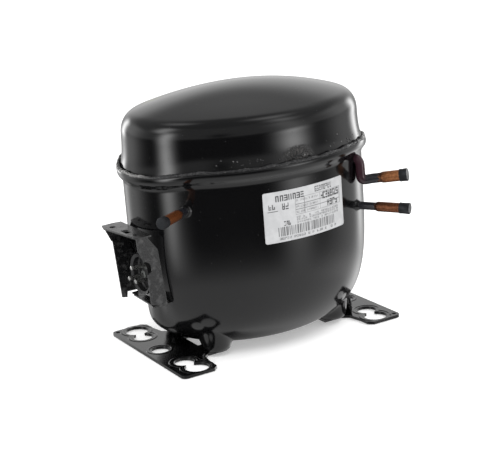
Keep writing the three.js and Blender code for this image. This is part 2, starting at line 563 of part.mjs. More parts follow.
{
  const chamber = join(box([20, -54, 124], [50, -28, 160]), box([48, -36, 134], [74, -28, 146]),
    box([66, -29, 134], [74, -BLOCK_HALF_Y - GAP, 146]));
  const hollow = join(box([22, -52, 126], [48, -30, 158]), box([47, -34, 136], [72, -30, 144]),
    box([68, -31, 136], [72, -20, 144]), box([26, -60, 146], [34, -50, 154]));
  piece('suction_muffler', cut(chamber, hollow), PLASTIC);

  const can = turned([[0, 123], [11, 123], [13, 125.5], [13, 154.5], [11, 157], [0, 157]], 24);
  const linkRoute = [
    [46, 42, 140], [58, 42, 140], [67, 39, 140], [70, 33, 140], [70, BLOCK_HALF_Y + GAP, 140],
  ];
  const link = pipe(linkRoute, 3, { steps: 12, sides: 8 });
  piece('discharge_muffler', join(can.translate([38, 42, 0]), link), STEEL);

  const around = Array.from({ length: 15 }, (_, i) => {
    const angle = THREE.MathUtils.degToRad(76 + 224 * i / 14);
    return [85 * Math.cos(angle), 67 * Math.sin(angle), 148 - 27 * i / 14];
  });
  const [rx, ry, rz] = DISCHARGE.root;
  const inner = DISCHARGE.inside - 0.6;
  const [ox, oy, oz] = DISCHARGE.out;
  const route = [[28.2, 51.8, 148], [25.5, 57.5, 148], ...around, [53, -52, 115], [57, -49.2, 107],
    [rx + ox * inner, ry + oy * inner, rz + oz * inner]];
  piece('shock_tube', pipe(route, 1.9, { steps: 40, sides: 8 }), COPPER);
}

// ---- crankshaft group
{
  const gallery = -THROW / 2;
  const web = slab(arc(0, 0, 1, 0, 342, 19).map(([x, y]) => [x * 15.5 - 3, y * 12.5]), WEB_LOW, WEB_HIGH);
  const crankPin = rod(PIN_R, WEB_HIGH - 1, PIN_TOP, 28).translate([-THROW, 0, 0]);
  const shaft = join(rod(SHAFT_R, 36, WEB_LOW + 1, 28), web, crankPin);
  piece('crankshaft', cut(shaft, rod(2.5, 35, 60, 16).translate([gallery, 0, 0])), IRON);
  piece('oil_gallery_plug', rod(2.2, 36.5, 59, 16).translate([gallery, 0, 0]), BRASS);
  piece('thrust_washer', ring(SHAFT_R + 0.4, 14, HUB_TOP + 0.2, WEB_LOW - 0.3, 28), BRASS);
  piece('rotor_core', ring(SHAFT_R + GAP, ROTOR_R, 50, 96, 32), ALUMINIUM);
  const halfRing = slab([...arc(0, 0, 29, -80, 80, 10), ...arc(0, 0, 14, 80, -80, 8)], 43, 49.7);
  piece('counterweight', halfRing, IRON);
  piece('oil_pickup', turned([[SHAFT_R + GAP, 42], [SHAFT_R + GAP, 35.5], [4, 16], [3, 13], [4.6, 13],
    [5.6, 16], [SHAFT_R + 1.8, 34.5], [SHAFT_R + 1.8, 42], [SHAFT_R + GAP, 42]], 24), STEEL);
}

// ---- scotch yoke: the slide block turns on the crank pin and slides in the yoke's slot
{
  const half = { x: 8, y: 10, z: 9 };
  const slot = { x: half.x + 0.4, y: half.y + THROW + 0.6 };
  const low = CYLINDER_Z - half.z;
  const high = CYLINDER_Z + half.z;
  const block = box([-THROW - half.x, -half.y, low], [-THROW + half.x, half.y, high]);
  piece('slide_block', cut(block, rod(PIN_R + GAP, low - 1, high + 1, 28).translate([-THROW, 0, 0])), BRASS);
  const frame = cut(slab(roundedRect(slot.x + 5, slot.y + 4, 3, -THROW, 0, 3), low, high),
    slab(roundedRect(slot.x, slot.y, 1, -THROW, 0, 1), low - 1, high + 1));
  const tail = PISTON_FACE - PISTON_LENGTH;
  const piston = turned([[0, tail], [PISTON_R, tail], [PISTON_R, tail + 5], [PISTON_R - 0.7, tail + 5.3],
    [PISTON_R - 0.7, tail + 6.4], [PISTON_R, tail + 6.7], [PISTON_R, PISTON_FACE], [0, PISTON_FACE]], 32);
  const stem = rodX(6, slot.x - THROW + 2, tail + 1, 0, CYLINDER_Z, 20);
  const placed = piston.rotate([0, 90, 0]).translate([0, 0, CYLINDER_Z]);
  piece('piston_yoke', join(frame, stem, placed), STEEL);
}

// ---------------------------------------------------------------- origin: bottom centre of the whole box
compressor.updateMatrixWorld(true);
const bounds = new THREE.Box3().setFromObject(compressor, true);
const centre = bounds.getCenter(new THREE.Vector3());
const product = new THREE.Group();
compressor.position.set(-centre.x, -centre.y, -bounds.min.z);
product.add(compressor);

export default product;
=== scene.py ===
"""Looks of a hermetic reciprocating compressor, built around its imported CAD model.

Sizes are millimetres in the drawing frame, whose origin is the centre of the foot hole pattern at floor
level: +X is towards the cylinder head, -Y is the side with the nameplate, +Z is up. to_row() turns such
points into the row frame, in metres, and every mesh is made there, on an object at the origin.
"""

import json
import logging
import math
from collections.abc import Iterable, Sequence
from dataclasses import dataclass
from enum import Enum

import bmesh
import bpy
import numpy as np
from mathutils import Matrix, Vector


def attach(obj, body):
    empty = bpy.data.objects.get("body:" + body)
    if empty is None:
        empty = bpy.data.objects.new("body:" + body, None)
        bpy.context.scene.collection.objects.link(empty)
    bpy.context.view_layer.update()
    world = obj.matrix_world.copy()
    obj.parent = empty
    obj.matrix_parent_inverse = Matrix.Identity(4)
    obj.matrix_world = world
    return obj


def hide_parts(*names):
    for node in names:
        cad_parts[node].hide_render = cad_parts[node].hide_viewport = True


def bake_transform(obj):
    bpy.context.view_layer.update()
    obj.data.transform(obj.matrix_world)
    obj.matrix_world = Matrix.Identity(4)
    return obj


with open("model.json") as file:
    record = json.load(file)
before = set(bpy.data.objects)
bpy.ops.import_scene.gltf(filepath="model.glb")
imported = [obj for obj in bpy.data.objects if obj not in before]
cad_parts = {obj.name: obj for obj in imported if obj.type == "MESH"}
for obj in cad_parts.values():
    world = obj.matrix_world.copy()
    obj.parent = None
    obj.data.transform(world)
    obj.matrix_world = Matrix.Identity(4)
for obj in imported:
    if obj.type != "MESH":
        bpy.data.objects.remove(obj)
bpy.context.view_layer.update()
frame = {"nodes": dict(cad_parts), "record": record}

log = logging.getLogger("compressor")

MM = 0.001
DRAWING_ORIGIN = np.array((6.75, 6.906325, 0.0))
WELD_DISTANCE = 2e-6
TERMINAL_CENTRE = (-97.0, -6.5, 69.0)
TAU = 2 * math.pi


# ------------------------------------------------------------------ numbers
def to_row(points: np.ndarray) -> np.ndarray:
    """Turns drawing-frame millimetres into row-frame metres.

    Args:
        points: Any array whose last axis is X, Y, Z.

    Returns:
        An array of the same shape.
    """
    return (np.asarray(points, float) + DRAWING_ORIGIN) * MM


def unit(vector: Sequence[float]) -> np.ndarray:
    """Scales a vector to length one."""
    array = np.asarray(vector, float)
    return array / np.linalg.norm(array)


def smooth_step(value: np.ndarray, low: float, high: float) -> np.ndarray:
    """Rises smoothly from 0 at low to 1 at high, as 3t^2 - 2t^3."""
    share = np.clip((value - low) / (high - low), 0, 1)
    return share * share * (3 - 2 * share)


def smooth_min(first: np.ndarray, second: np.ndarray, width: float) -> np.ndarray:
    """The lower of two heights, with the corner between them rounded over a width."""
    blend = np.maximum(width - np.abs(first - second), 0) / width
    return np.minimum(first, second) - blend * blend * width / 4


def ripple(points: np.ndarray, wavelength: float, seed: int, waves: int = 14) -> np.ndarray:
    """Smooth seeded noise: a sum of sine waves of one length that run in random directions.

    Args:
        points: Places in millimetres, the last axis X, Y, Z.
        wavelength: Length of each wave in millimetres.
        seed: Seed of the directions and phases.
        waves: How many waves are added.

    Returns:
        One value for each point, mostly between -1 and 1.
    """
    rng = np.random.default_rng(seed)
    directions = rng.normal(size=(waves, 3))
    directions /= np.linalg.norm(directions, axis=1, keepdims=True)
    phases = rng.uniform(0, TAU, waves)
    turns = points @ directions.T * (TAU / wavelength) + phases
    return np.sin(turns).sum(-1) / math.sqrt(waves)


def evenly(path: np.ndarray, spacing: float) -> np.ndarray:
    """Places points along a path at equal steps.

    Args:
        path: Points along the path, two or three coordinates each.
        spacing: Wanted step in millimetres.

    Returns:
        The new points, with the path's own two ends.
    """
    path = np.asarray(path, float)
    run = np.r_[0, np.cumsum(np.linalg.norm(np.diff(path, axis=0), axis=1))]
    wanted = np.linspace(0, run[-1], max(2, int(round(run[-1] / spacing)) + 1))
    return np.stack([np.interp(wanted, run, axis) for axis in path.T], axis=1)


def rounded_path(corners: Sequence[tuple[float, ...]], radius: float, steps: int = 6) -> np.ndarray:
    """Rounds each inner corner of a path with a parabola that starts `radius` before it.

    Args:
        corners: The path's corners.
        radius: Length given up on each side of a corner, at most half of the shorter side.
        steps: Points on each parabola.

    Returns:
        The rounded path's points.
    """
    points = np.asarray(corners, float)
    out = [points[:1]]
    t = np.linspace(0, 1, steps)[:, None]
    for before, corner, after in zip(points[:-2], points[1:-1], points[2:]):
        back, on = before - corner, after - corner
        reach = min(radius, np.linalg.norm(back) / 2, np.linalg.norm(on) / 2)
        start, end = corner + unit(back) * reach, corner + unit(on) * reach
        out.append((1 - t) ** 2 * start + 2 * t * (1 - t) * corner + t * t * end)
    out.append(points[-1:])
    return np.concatenate(out)


# ------------------------------------------------------------------ meshes
def mesh_object(name: str, vertices: np.ndarray, faces: np.ndarray,
                marks: dict[str, np.ndarray] | None = None) -> bpy.types.Object:
    """Makes a closed, outward-facing, smooth-shaded object from arrays.

    Args:
        name: The piece's name.
        vertices: Drawing-frame points in millimetres, one row each.
        faces: Vertex indices, one row for each face.
        marks: Values stored on the points as float attributes, by name.

    Returns:
        The new object, at the origin of the row frame.
    """
    mesh = bpy.data.meshes.new(name)
    mesh.from_pydata(to_row(vertices).tolist(), [], faces.tolist())
    for key, values in (marks or {}).items():
        layer = mesh.attributes.new(key, "FLOAT", "POINT")
        layer.data.foreach_set("value", np.asarray(values, np.float32).ravel())
    shape = bmesh.new()
    shape.from_mesh(mesh)
    bmesh.ops.remove_doubles(shape, verts=shape.verts, dist=WELD_DISTANCE)
    bmesh.ops.dissolve_degenerate(shape, edges=shape.edges, dist=WELD_DISTANCE / 4)
    if shape.calc_volume(signed=True) < 0:
        bmesh.ops.reverse_faces(shape, faces=shape.faces)
    shape.to_mesh(mesh)
    shape.free()
    mesh.shade_smooth()
    made = bpy.data.objects.new(name, mesh)
    bpy.context.scene.collection.objects.link(made)
    return made


def grid_faces(rows: int, columns: int, close_rows: bool, close_columns: bool,
               first: int = 0) -> np.ndarray:
    """Quads between neighbouring points of a grid.

    Args:
        rows: Length of the grid's first axis.
        columns: Length of its second axis.
        close_rows: Whether the last row joins the first.
        close_columns: Whether the last column joins the first.
        first: Index of the grid's first vertex.

    Returns:
        Four vertex indices for each face.
    """
    row = np.arange(rows if close_rows else rows - 1)[:, None]
    column = np.arange(columns if close_columns else columns - 1)[None, :]
    next_row, next_column = (row + 1) % rows, (column + 1) % columns
    corners = [row * columns + column, next_row * columns + column,
               next_row * columns + next_column, row * columns + next_column]
    spread = [np.broadcast_to(corner, (row.size, column.size)) for corner in corners]
    return np.stack(spread, -1).reshape(-1, 4) + first


def grid_object(name: str, grid: np.ndarray, close_rows: bool = True, close_columns: bool = False,
                marks: dict[str, np.ndarray] | None = None) -> bpy.types.Object:
    """Makes one object from a grid of points; see mesh_object() and grid_faces()."""
    faces = grid_faces(grid.shape[0], grid.shape[1], close_rows, close_columns)
    return mesh_object(name, grid.reshape(-1, 3), faces, marks)


def turned(name: str, profile: np.ndarray, origin: Sequence[float], direction: Sequence[float],
           segments: int = 64) -> bpy.types.Object:
    """Turns a profile about an axis: a point (r, h) goes to origin + h d + r (a cos t + b sin t).

    Args:
        name: The piece's name.
        profile: Rows of (radius, height along the axis); it closes on the axis or on itself.
        origin: Where the axis starts.
        direction: Which way it points.
        segments: Points round the axis.

    Returns:
        The new object.
    """
    axis = unit(direction)
    side = unit(np.cross(axis, (0.0, 0.0, 1.0) if abs(axis[2]) < 0.9 else (1.0, 0.0, 0.0)))
    other = np.cross(axis, side)
    angle = np.arange(segments) * TAU / segments
    spoke = np.cos(angle)[:, None] * side + np.sin(angle)[:, None] * other
    radius, height = np.asarray(profile, float).T
    along, outward = height[None, :, None] * axis, radius[None, :, None] * spoke[:, None, :]
    grid = np.asarray(origin, float) + along + outward
    closed = not np.allclose(profile[0], profile[-1]) and profile[0][0] > 0
    return grid_object(name, grid, close_columns=closed)


def swept(name: str, path: np.ndarray, radii: np.ndarray, side: Sequence[float], segments: int = 20,
          closed: bool = False, height_share: float = 1.0,
          marks: dict[str, np.ndarray] | None = None) -> bpy.types.Object:
    """Carries a round or flattened section along a path, square to its tangent.

    Args:
        name: The piece's name.
        path: Centres of the sections.
        radii: Section radius at each centre.
        side: A direction that is never along the path; sections are laid out from it.
        segments: Points round a section.
        closed: Whether the path is a loop.
        height_share: The section's height over its width.
        marks: Point attributes, each shaped (path points, segments).

    Returns:
        The new object, its ends closed by shrinking the section to its centre.
    """
    ahead = np.roll(path, -1, 0) - np.roll(path, 1, 0) if closed else np.gradient(path, axis=0)
    ahead /= np.linalg.norm(ahead, axis=1, keepdims=True)
    across = np.cross(ahead, np.asarray(side, float))
    across /= np.linalg.norm(across, axis=1, keepdims=True)
    upward = np.cross(across, ahead)
    angle = np.arange(segments) * TAU / segments
    ring = (np.cos(angle)[None, :, None] * across[:, None, :]
            + height_share * np.sin(angle)[None, :, None] * upward[:, None, :])
    grid = path[:, None, :] + np.asarray(radii, float)[:, None, None] * ring
    if not closed:
        ends = [np.repeat(path[i][None, None, :], segments, axis=1) for i in (0, -1)]
        grid = np.concatenate([ends[0], grid, ends[1]])
        if marks:
            marks = {key: np.concatenate([v[:1], v, v[-1:]]) for key, v in marks.items()}
    return grid_object(name, grid, close_rows=closed, close_columns=True, marks=marks)


def droplets(name: str, centres: np.ndarray, radii: np.ndarray, squash: np.ndarray) -> bpy.types.Object:
    """Makes many small flattened balls as one mesh.

    Args:
        name: The piece's name.
        centres: One centre for each ball.
        radii: One radius for each ball.
        squash: One unit direction for each ball, along which it is half as thick.

    Returns:
        The new object.
    """
    bands, slices = 6, 8
    polar = np.linspace(0, math.pi, bands)[:, None]
    angle = (np.arange(slices) * TAU / slices)[None, :]
    ball = np.stack([np.sin(polar) * np.cos(angle), np.sin(polar) * np.sin(angle),
                     np.broadcast_to(np.cos(polar), (bands, slices))], -1).reshape(-1, 3)
    points = ball[None] * radii[:, None, None]
    depth = (points * squash[:, None, :]).sum(-1, keepdims=True)
    points = points - 0.5 * depth * squash[:, None, :] + centres[:, None, :]
    count = len(ball)
    faces = np.concatenate([grid_faces(bands, slices, False, True, first=index * count)
                            for index in range(len(radii))])
    return mesh_object(name, points.reshape(-1, 3), faces)


def copy_of_node(node: str, name: str, bevel: float) -> bpy.types.Object:
    """Copies a CAD node, merges its loose triangles and softens its sharp edges.

    Args:
        node: The CAD node's name.
        name: The new piece's name.
        bevel: Width of the softened edge in millimetres.

    Returns:
        The new object, which stands for the node.
    """
    mesh = frame["nodes"][node].data.copy()
    if "custom_normal" in mesh.attributes:
        mesh.attributes.remove(mesh.attributes["custom_normal"])
    shape = bmesh.new()
    shape.from_mesh(mesh)
    bmesh.ops.remove_doubles(shape, verts=shape.verts, dist=WELD_DISTANCE)
    bmesh.ops.dissolve_limit(shape, angle_limit=math.radians(1), verts=shape.verts, edges=shape.edges)
    shape.to_mesh(mesh)
    shape.free()
    mesh.shade_smooth()
    made = bpy.data.objects.new(name, mesh)
    bpy.context.scene.collection.objects.link(made)
    edge = made.modifiers.new("soft edges", "BEVEL")
    edge.width = bevel * MM
    edge.segments = 2
    edge.limit_method = "ANGLE"
    edge.angle_limit = math.radians(35)
    edge.harden_normals = True
    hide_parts(node)
    return made


# ------------------------------------------------------------------ shaders
Colour = tuple[float, float, float]


class ShaderSheet:
    """One material's node tree while it is put together."""

    def __init__(self, name: str) -> None:
        """Starts a material with a Principled shader and Object coordinates."""
        self.material = bpy.data.materials.new(name)
        self.material.use_nodes = True
        self.tree = self.material.node_tree
        self.shader = self.tree.nodes["Principled BSDF"]
        self.place = self.tree.nodes.new("ShaderNodeTexCoord").outputs["Object"]

    def constant(self, **values: float | Colour) -> None:
        """Sets sockets of the shader, named with _ for a space."""
        for key, value in values.items():
            socket = self.shader.inputs[key.replace("_", " ")]
            socket.default_value = (*value, 1.0) if isinstance(value, tuple) else value

    def link(self, source: bpy.types.NodeSocket, target: bpy.types.NodeSocket) -> None:
        """Joins two sockets."""
        self.tree.links.new(source, target)

    def drive(self, socket: str, source: bpy.types.NodeSocket) -> None:
        """Feeds one socket of the shader."""
        self.link(source, self.shader.inputs[socket])

    def attribute(self, name: str) -> bpy.types.NodeSocket:
        """Reads a point attribute."""
        node = self.tree.nodes.new("ShaderNodeAttribute")
        node.attribute_name = name
        return node.outputs["Fac"]

    def stretched(self, scale: Sequence[float]) -> bpy.types.NodeSocket:
        """Object coordinates scaled along each axis."""
        node = self.tree.nodes.new("ShaderNodeMapping")
        node.inputs["Scale"].default_value = scale
        self.link(self.place, node.inputs["Vector"])
        return node.outputs["Vector"]

    def noise(self, size: float, detail: float = 3.0, rough: float = 0.5,
              vector: bpy.types.NodeSocket | None = None) -> bpy.types.NodeSocket:
        """Noise whose blotches are about `size` millimetres across."""
        node = self.tree.nodes.new("ShaderNodeTexNoise")
        node.inputs["Scale"].default_value = 1 / (size * MM)
        node.inputs["Detail"].default_value = detail
        node.inputs["Roughness"].default_value = rough
        self.link(vector or self.place, node.inputs["Vector"])
        return node.outputs["Fac"]

    def specks(self, size: float) -> bpy.types.NodeSocket:
        """Distance to the nearest of scattered points about `size` millimetres apart, in spacings."""
        node = self.tree.nodes.new("ShaderNodeTexVoronoi")
        node.inputs["Scale"].default_value = 1 / (size * MM)
        self.link(self.place, node.inputs["Vector"])
        return node.outputs["Distance"]

    def spread(self, source: bpy.types.NodeSocket, low: float, high: float, to_low: float,
               to_high: float) -> bpy.types.NodeSocket:
        """Maps low..high smoothly onto to_low..to_high."""
        node = self.tree.nodes.new("ShaderNodeMapRange")
        node.interpolation_type = "SMOOTHSTEP"
        for key, value in (("From Min", low), ("From Max", high), ("To Min", to_low), ("To Max", to_high)):
            node.inputs[key].default_value = value
        self.link(source, node.inputs["Value"])
        return node.outputs["Result"]

    def sum(self, first: bpy.types.NodeSocket, second: bpy.types.NodeSocket | float,
            operation: str = "ADD") -> bpy.types.NodeSocket:
        """Combines two values with a Math operation."""
        node = self.tree.nodes.new("ShaderNodeMath")
        node.operation = operation
        self.link(first, node.inputs[0])
        if isinstance(second, bpy.types.NodeSocket):
            self.link(second, node.inputs[1])
        else:
            node.inputs[1].default_value = second
        return node.outputs["Value"]

    def patch(self, centre: Sequence[float], reach: Sequence[float]) -> bpy.types.NodeSocket:
        """1 at a place in drawing-frame millimetres, falling to 0 at `reach` along each axis."""
        node = self.tree.nodes.new("ShaderNodeMapping")
        middle = to_row(np.asarray(centre, float))
        scale = 1 / (np.asarray(reach, float) * MM)
        node.inputs["Location"].default_value = tuple(-middle * scale)
        node.inputs["Scale"].default_value = tuple(scale)
        self.link(self.place, node.inputs["Vector"])
        length = self.tree.nodes.new("ShaderNodeVectorMath")
        length.operation = "LENGTH"
        self.link(node.outputs["Vector"], length.inputs[0])
        return self.spread(length.outputs["Value"], 0.25, 1.0, 1.0, 0.0)

    def blend(self, share: bpy.types.NodeSocket, first: Colour | bpy.types.NodeSocket,
              second: Colour | bpy.types.NodeSocket) -> bpy.types.NodeSocket:
        """Mixes two colours by a share."""
        node = self.tree.nodes.new("ShaderNodeMix")
        node.data_type = "RGBA"
        self.link(share, node.inputs["Factor"])
        for socket, colour in ((node.inputs[6], first), (node.inputs[7], second)):
            if isinstance(colour, bpy.types.NodeSocket):
                self.link(colour, socket)
            else:
                socket.default_value = (*colour, 1.0)
        return node.outputs[2]

    def relief(self, height: bpy.types.NodeSocket, depth: float, strength: float = 1.0) -> None:
        """Raises the surface by up to `depth` millimetres, on top of any relief before it."""
        node = self.tree.nodes.new("ShaderNodeBump")
        node.inputs["Strength"].default_value = strength
        node.inputs["Distance"].default_value = depth * MM
        self.link(height, node.inputs["Height"])
        before = self.shader.inputs["Normal"]
        if before.is_linked:
            self.link(before.links[0].from_socket, node.inputs["Normal"])
        self.link(node.outputs["Normal"], before)


@dataclass(frozen=True)
class Patch:
    """A place on a painted surface that differs from the rest."""

    centre: tuple[float, float, float]
    reach: tuple[float, float, float]


@dataclass(frozen=True)
class GlossPaint:
    """Black baked paint: orange peel, faint clouds of roughness, dust specks, and optional marks."""

    name: str
    colour: Colour = (0.0028, 0.0028, 0.0031)
    roughness: float = 0.12
    peel: float = 0.006
    scorch: tuple[Patch, ...] = ()
    chalk: tuple[Patch, ...] = ()

    def material(self) -> bpy.types.Material:
        """Builds the material."""
        sheet = ShaderSheet(self.name)
        clouds = sheet.noise(34, 4)
        rough = sheet.spread(clouds, 0.3, 0.7, self.roughness * 0.86, self.roughness * 1.18)
        dust = sheet.spread(sheet.specks(5.5), 0.03, 0.075, 1.0, 0.0)
        colour = sheet.blend(sheet.sum(dust, 0.35, "MULTIPLY"), self.colour, (0.05, 0.05, 0.049))
        rough = sheet.sum(rough, sheet.sum(dust, 0.3, "MULTIPLY"))
        for mark in self.scorch:
            grain = sheet.noise(2.2, 6, 0.7)
            where = sheet.sum(sheet.patch(mark.centre, mark.reach),
                              sheet.spread(grain, 0.42, 0.6, 0.25, 1), "MULTIPLY")
            colour = sheet.blend(where, colour, (0.05, 0.047, 0.045))
            rough = sheet.sum(rough, sheet.sum(where, 0.5, "MULTIPLY"))
            sheet.relief(sheet.sum(where, grain, "MULTIPLY"), 0.9)
        for mark in self.chalk:
            streaks = sheet.noise(3, 3, 0.6, sheet.stretched((1.0, 0.35, 0.6)))
            where = sheet.sum(sheet.patch(mark.centre, mark.reach),
                              sheet.spread(streaks, 0.36, 0.72, 0.05, 0.5), "MULTIPLY")
            colour = sheet.blend(where, colour, (0.34, 0.36, 0.1))
        sheet.drive("Base Color", colour)
        sheet.drive("Roughness", rough)
        sheet.constant(IOR=1.5)
        sheet.relief(sheet.noise(3.4, 2), self.peel)
        return sheet.material


@dataclass(frozen=True)
class WeldBead:
    """Weld metal under thin paint: rough, dark, with bright raised grains; in the bright patches, painted
    highlights of denser light bare metal.
    """

    name: str = "weld_bead"
    bare: float = 0.12
    # Patches of painted highlight: more light bare metal stands in for glints on the seam.
    bright: tuple[Patch, ...] = ()

    def material(self) -> bpy.types.Material:
        """Builds the material."""
        sheet = ShaderSheet(self.name)
        grain = sheet.noise(1.1, 5, 0.65)
        scale = sheet.noise(7, 3)
        bare_grains_and_glint = sheet.sum(sheet.spread(grain, 0.5, 0.68, 0.0, 1.0),
                          sheet.spread(scale, 0.45, 0.62, 0.1, self.bare), "MULTIPLY")
        # Painted highlights: each bright patch lays light, metallic bare grains densely where the seam shows
        # glints.
        for spot in self.bright:
            painted_glint = sheet.sum(sheet.patch(spot.centre, spot.reach),
                              sheet.spread(grain, 0.4, 0.56, 0.0, 1.0), "MULTIPLY")
            bare_grains_and_glint = sheet.sum(bare_grains_and_glint, painted_glint, "MAXIMUM")
        sheet.drive("Base Color", sheet.blend(bare_grains_and_glint, (0.01, 0.01, 0.011), (0.5, 0.49, 0.48)))
        sheet.drive("Metallic", sheet.sum(bare_grains_and_glint, 0.8, "MULTIPLY"))
        sheet.drive("Roughness", sheet.spread(grain, 0.3, 0.7, 0.34, 0.14))
        sheet.relief(grain, 0.5)
        return sheet.material


@dataclass(frozen=True)
class PaintedCopper:
    """Copper tube that is oversprayed with shell paint near its root, with a ragged edge."""

    name: str
    copper: Colour
    paint_end: float
    paint: Colour = (0.012, 0.012, 0.015)
    flush: Colour = (0.035, 0.012, 0.018)

    def material(self) -> bpy.types.Material:
        """Builds the material."""
        sheet = ShaderSheet(self.name)
        along = sheet.attribute("along")
        ragged = sheet.sum(along, sheet.spread(sheet.noise(2.5, 4), 0.2, 0.8, -1.8, 1.8))
        bare = sheet.spread(ragged, self.paint_end - 0.7, self.paint_end + 0.7, 0.0, 1.0)
        heat = sheet.spread(ragged, self.paint_end, self.paint_end + 7, 1.0, 0.0)
        streaks = sheet.noise(1.6, 4, 0.6)
        metal = sheet.blend(sheet.spread(streaks, 0.3, 0.75, 0.0, 0.8), self.copper,
                            tuple(0.45 * c for c in self.copper))
        metal = sheet.blend(sheet.sum(heat, 0.75, "MULTIPLY"), metal, (0.075, 0.035, 0.022))
        root = sheet.spread(along, -4.0, 3.0, 1.0, 0.0)
        coat = sheet.blend(sheet.sum(root, 0.8, "MULTIPLY"), self.paint, self.flush)
        sheet.drive("Base Color", sheet.blend(bare, coat, metal))
        sheet.drive("Metallic", sheet.sum(bare, 0.86, "MULTIPLY"))
        sheet.drive("Roughness", sheet.sum(sheet.spread(streaks, 0.3, 0.7, 0.14, 0.26),
                                           sheet.sum(bare, 0.16, "MULTIPLY")))
        sheet.relief(sheet.noise(0.9, 3), 0.05)
        return sheet.material


@dataclass(frozen=True)
class Rubber:
    """Moulded rubber: matt, slightly blue black, with fine pores and finger marks."""

    name: str = "plug_rubber"

    def material(self) -> bpy.types.Material:
        """Builds the material."""
        sheet = ShaderSheet(self.name)
        smears = sheet.noise(4, 4)
        sheet.drive("Base Color", sheet.blend(sheet.spread(smears, 0.35, 0.75, 0.0, 1.0),
                                              (0.006, 0.0065, 0.008), (0.016, 0.018, 0.021)))
        sheet.drive("Roughness", sheet.spread(smears, 0.3, 0.7, 0.5, 0.38))
        sheet.constant(Specular_IOR_Level=0.25)
        sheet.relief(sheet.noise(0.5, 2), 0.04)
        return sheet.material


@dataclass(frozen=True)
class GuardSheet:
    """Thin steel sheet of the terminal guard: dull dark paint with grey mottling."""

    name: str = "guard_sheet"

    def material(self) -> bpy.types.Material:
        """Builds the material."""
        sheet = ShaderSheet(self.name)
        mottle = sheet.noise(5.5, 6, 0.62)
        worn = sheet.spread(mottle, 0.5, 0.7, 0.0, 1.0)
        sheet.drive("Base Color", sheet.blend(worn, (0.006, 0.006, 0.0065), (0.05, 0.05, 0.05)))
        sheet.drive("Roughness", sheet.spread(mottle, 0.3, 0.7, 0.18, 0.34))
        sheet.relief(sheet.noise(1.4, 3), 0.06)
        return sheet.material


@dataclass(frozen=True)
class PrintedLabel:
    """Satin silver-white film printed by the attribute "ink"."""

    name: str = "label_film"

    def material(self) -> bpy.types.Material:
        """Builds the material."""
        sheet = ShaderSheet(self.name)
        fibre = sheet.noise(6, 3)
        film = sheet.blend(sheet.spread(fibre, 0.35, 0.65, 0.0, 1.0),
                           (0.43, 0.433, 0.44), (0.48, 0.483, 0.49))
        sheet.drive("Base Color", sheet.blend(sheet.attribute("ink"), film, (0.012, 0.012, 0.013)))
        sheet.drive("Roughness", sheet.spread(fibre, 0.3, 0.7, 0.42, 0.55))
        sheet.relief(sheet.noise(0.7, 2), 0.01)
        return sheet.material


class Grain(Enum):
    """How a bare inner part's surface runs."""

    CAST = "cast"
    TURNED = "turned"
    SHEETS = "sheets"
    WIRES = "wires"


@dataclass(frozen=True)
class BarePart:
    """Unpainted metal, plastic or fibre of a part, told apart by its grain."""

    name: str
    colour: Colour
    shade: Colour
    roughness: float
    metallic: float
    grain: Grain = Grain.CAST

    def material(self) -> bpy.types.Material:
        """Builds the material."""
        sheet = ShaderSheet(self.name)
        squeeze = {Grain.CAST: (1, 1, 1), Grain.TURNED: (0.08, 0.08, 1), Grain.SHEETS: (0.02, 0.02, 1),
                   Grain.WIRES: (1, 1, 0.15)}[self.grain]
        size = {Grain.CAST: 1.6, Grain.TURNED: 0.4, Grain.SHEETS: 0.5, Grain.WIRES: 0.8}[self.grain]
        fine = sheet.noise(size, 3, 0.55, sheet.stretched(squeeze))
        broad = sheet.noise(14, 4)
        share = sheet.spread(sheet.sum(fine, broad), 0.7, 1.3, 0.0, 1.0)
        sheet.drive("Base Color", sheet.blend(share, self.colour, self.shade))
        sheet.drive("Roughness", sheet.spread(fine, 0.3, 0.7, self.roughness * 0.8, self.roughness * 1.2))
        sheet.constant(Metallic=self.metallic)
        sheet.relief(fine, 0.06)
        return sheet.material


SHELL_PAINT = GlossPaint("shell_paint")
COVER_PAINT = GlossPaint(
    "cover_paint",
    scorch=(Patch((2.0, -78.0, 155.0), (16.0, 9.0, 8.0)), Patch((99.0, 0.0, 157.0), (5.0, 9.0, 6.0))),
    chalk=(Patch((-56.0, 32.0, 188.0), (17.0, 13.0, 12.0)),),
)
FOOT_PAINT = GlossPaint("foot_paint", roughness=0.15, peel=0.01)
RUBBER = Rubber()
# The bright patches are painted highlights at the seam's left end, front right and right end.
WELD = WeldBead(bright=(
    Patch((-100.0, -4.0, 152.0), (22.0, 36.0, 9.0)),
    Patch((88.0, -40.0, 152.0), (26.0, 26.0, 9.0)),
    Patch((100.0, 0.0, 155.0), (14.0, 20.0, 12.0)),
))
SPATTER = WeldBead("weld_spatter", bare=0.9)
SMALL_WELD = WeldBead("joint_weld", bare=0.12)
ZINC = BarePart("terminal_steel", (0.02, 0.02, 0.021), (0.009, 0.009, 0.0095), 0.42, 0.2)
PIN_STEEL = BarePart("pin_steel", (0.62, 0.62, 0.6), (0.35, 0.35, 0.34), 0.28, 0.95, Grain.TURNED)
GLASS = BarePart("seal_glass", (0.12, 0.125, 0.12), (0.06, 0.065, 0.06), 0.2, 0.0)
IRON = BarePart("machined_iron", (0.2, 0.2, 0.21), (0.1, 0.1, 0.105), 0.5, 0.85)
LAMINATION = BarePart("lamination_steel", (0.24, 0.24, 0.25), (0.08, 0.08, 0.085), 0.45, 0.85, Grain.SHEETS)
ENAMEL = BarePart("winding_enamel", (0.36, 0.11, 0.035), (0.16, 0.045, 0.015), 0.3, 0.5, Grain.WIRES)
STEEL = BarePart("bright_steel", (0.5, 0.5, 0.51), (0.32, 0.32, 0.33), 0.33, 0.95, Grain.TURNED)
SPRING = BarePart("spring_steel", (0.42, 0.43, 0.45), (0.24, 0.24, 0.26), 0.26, 0.95)
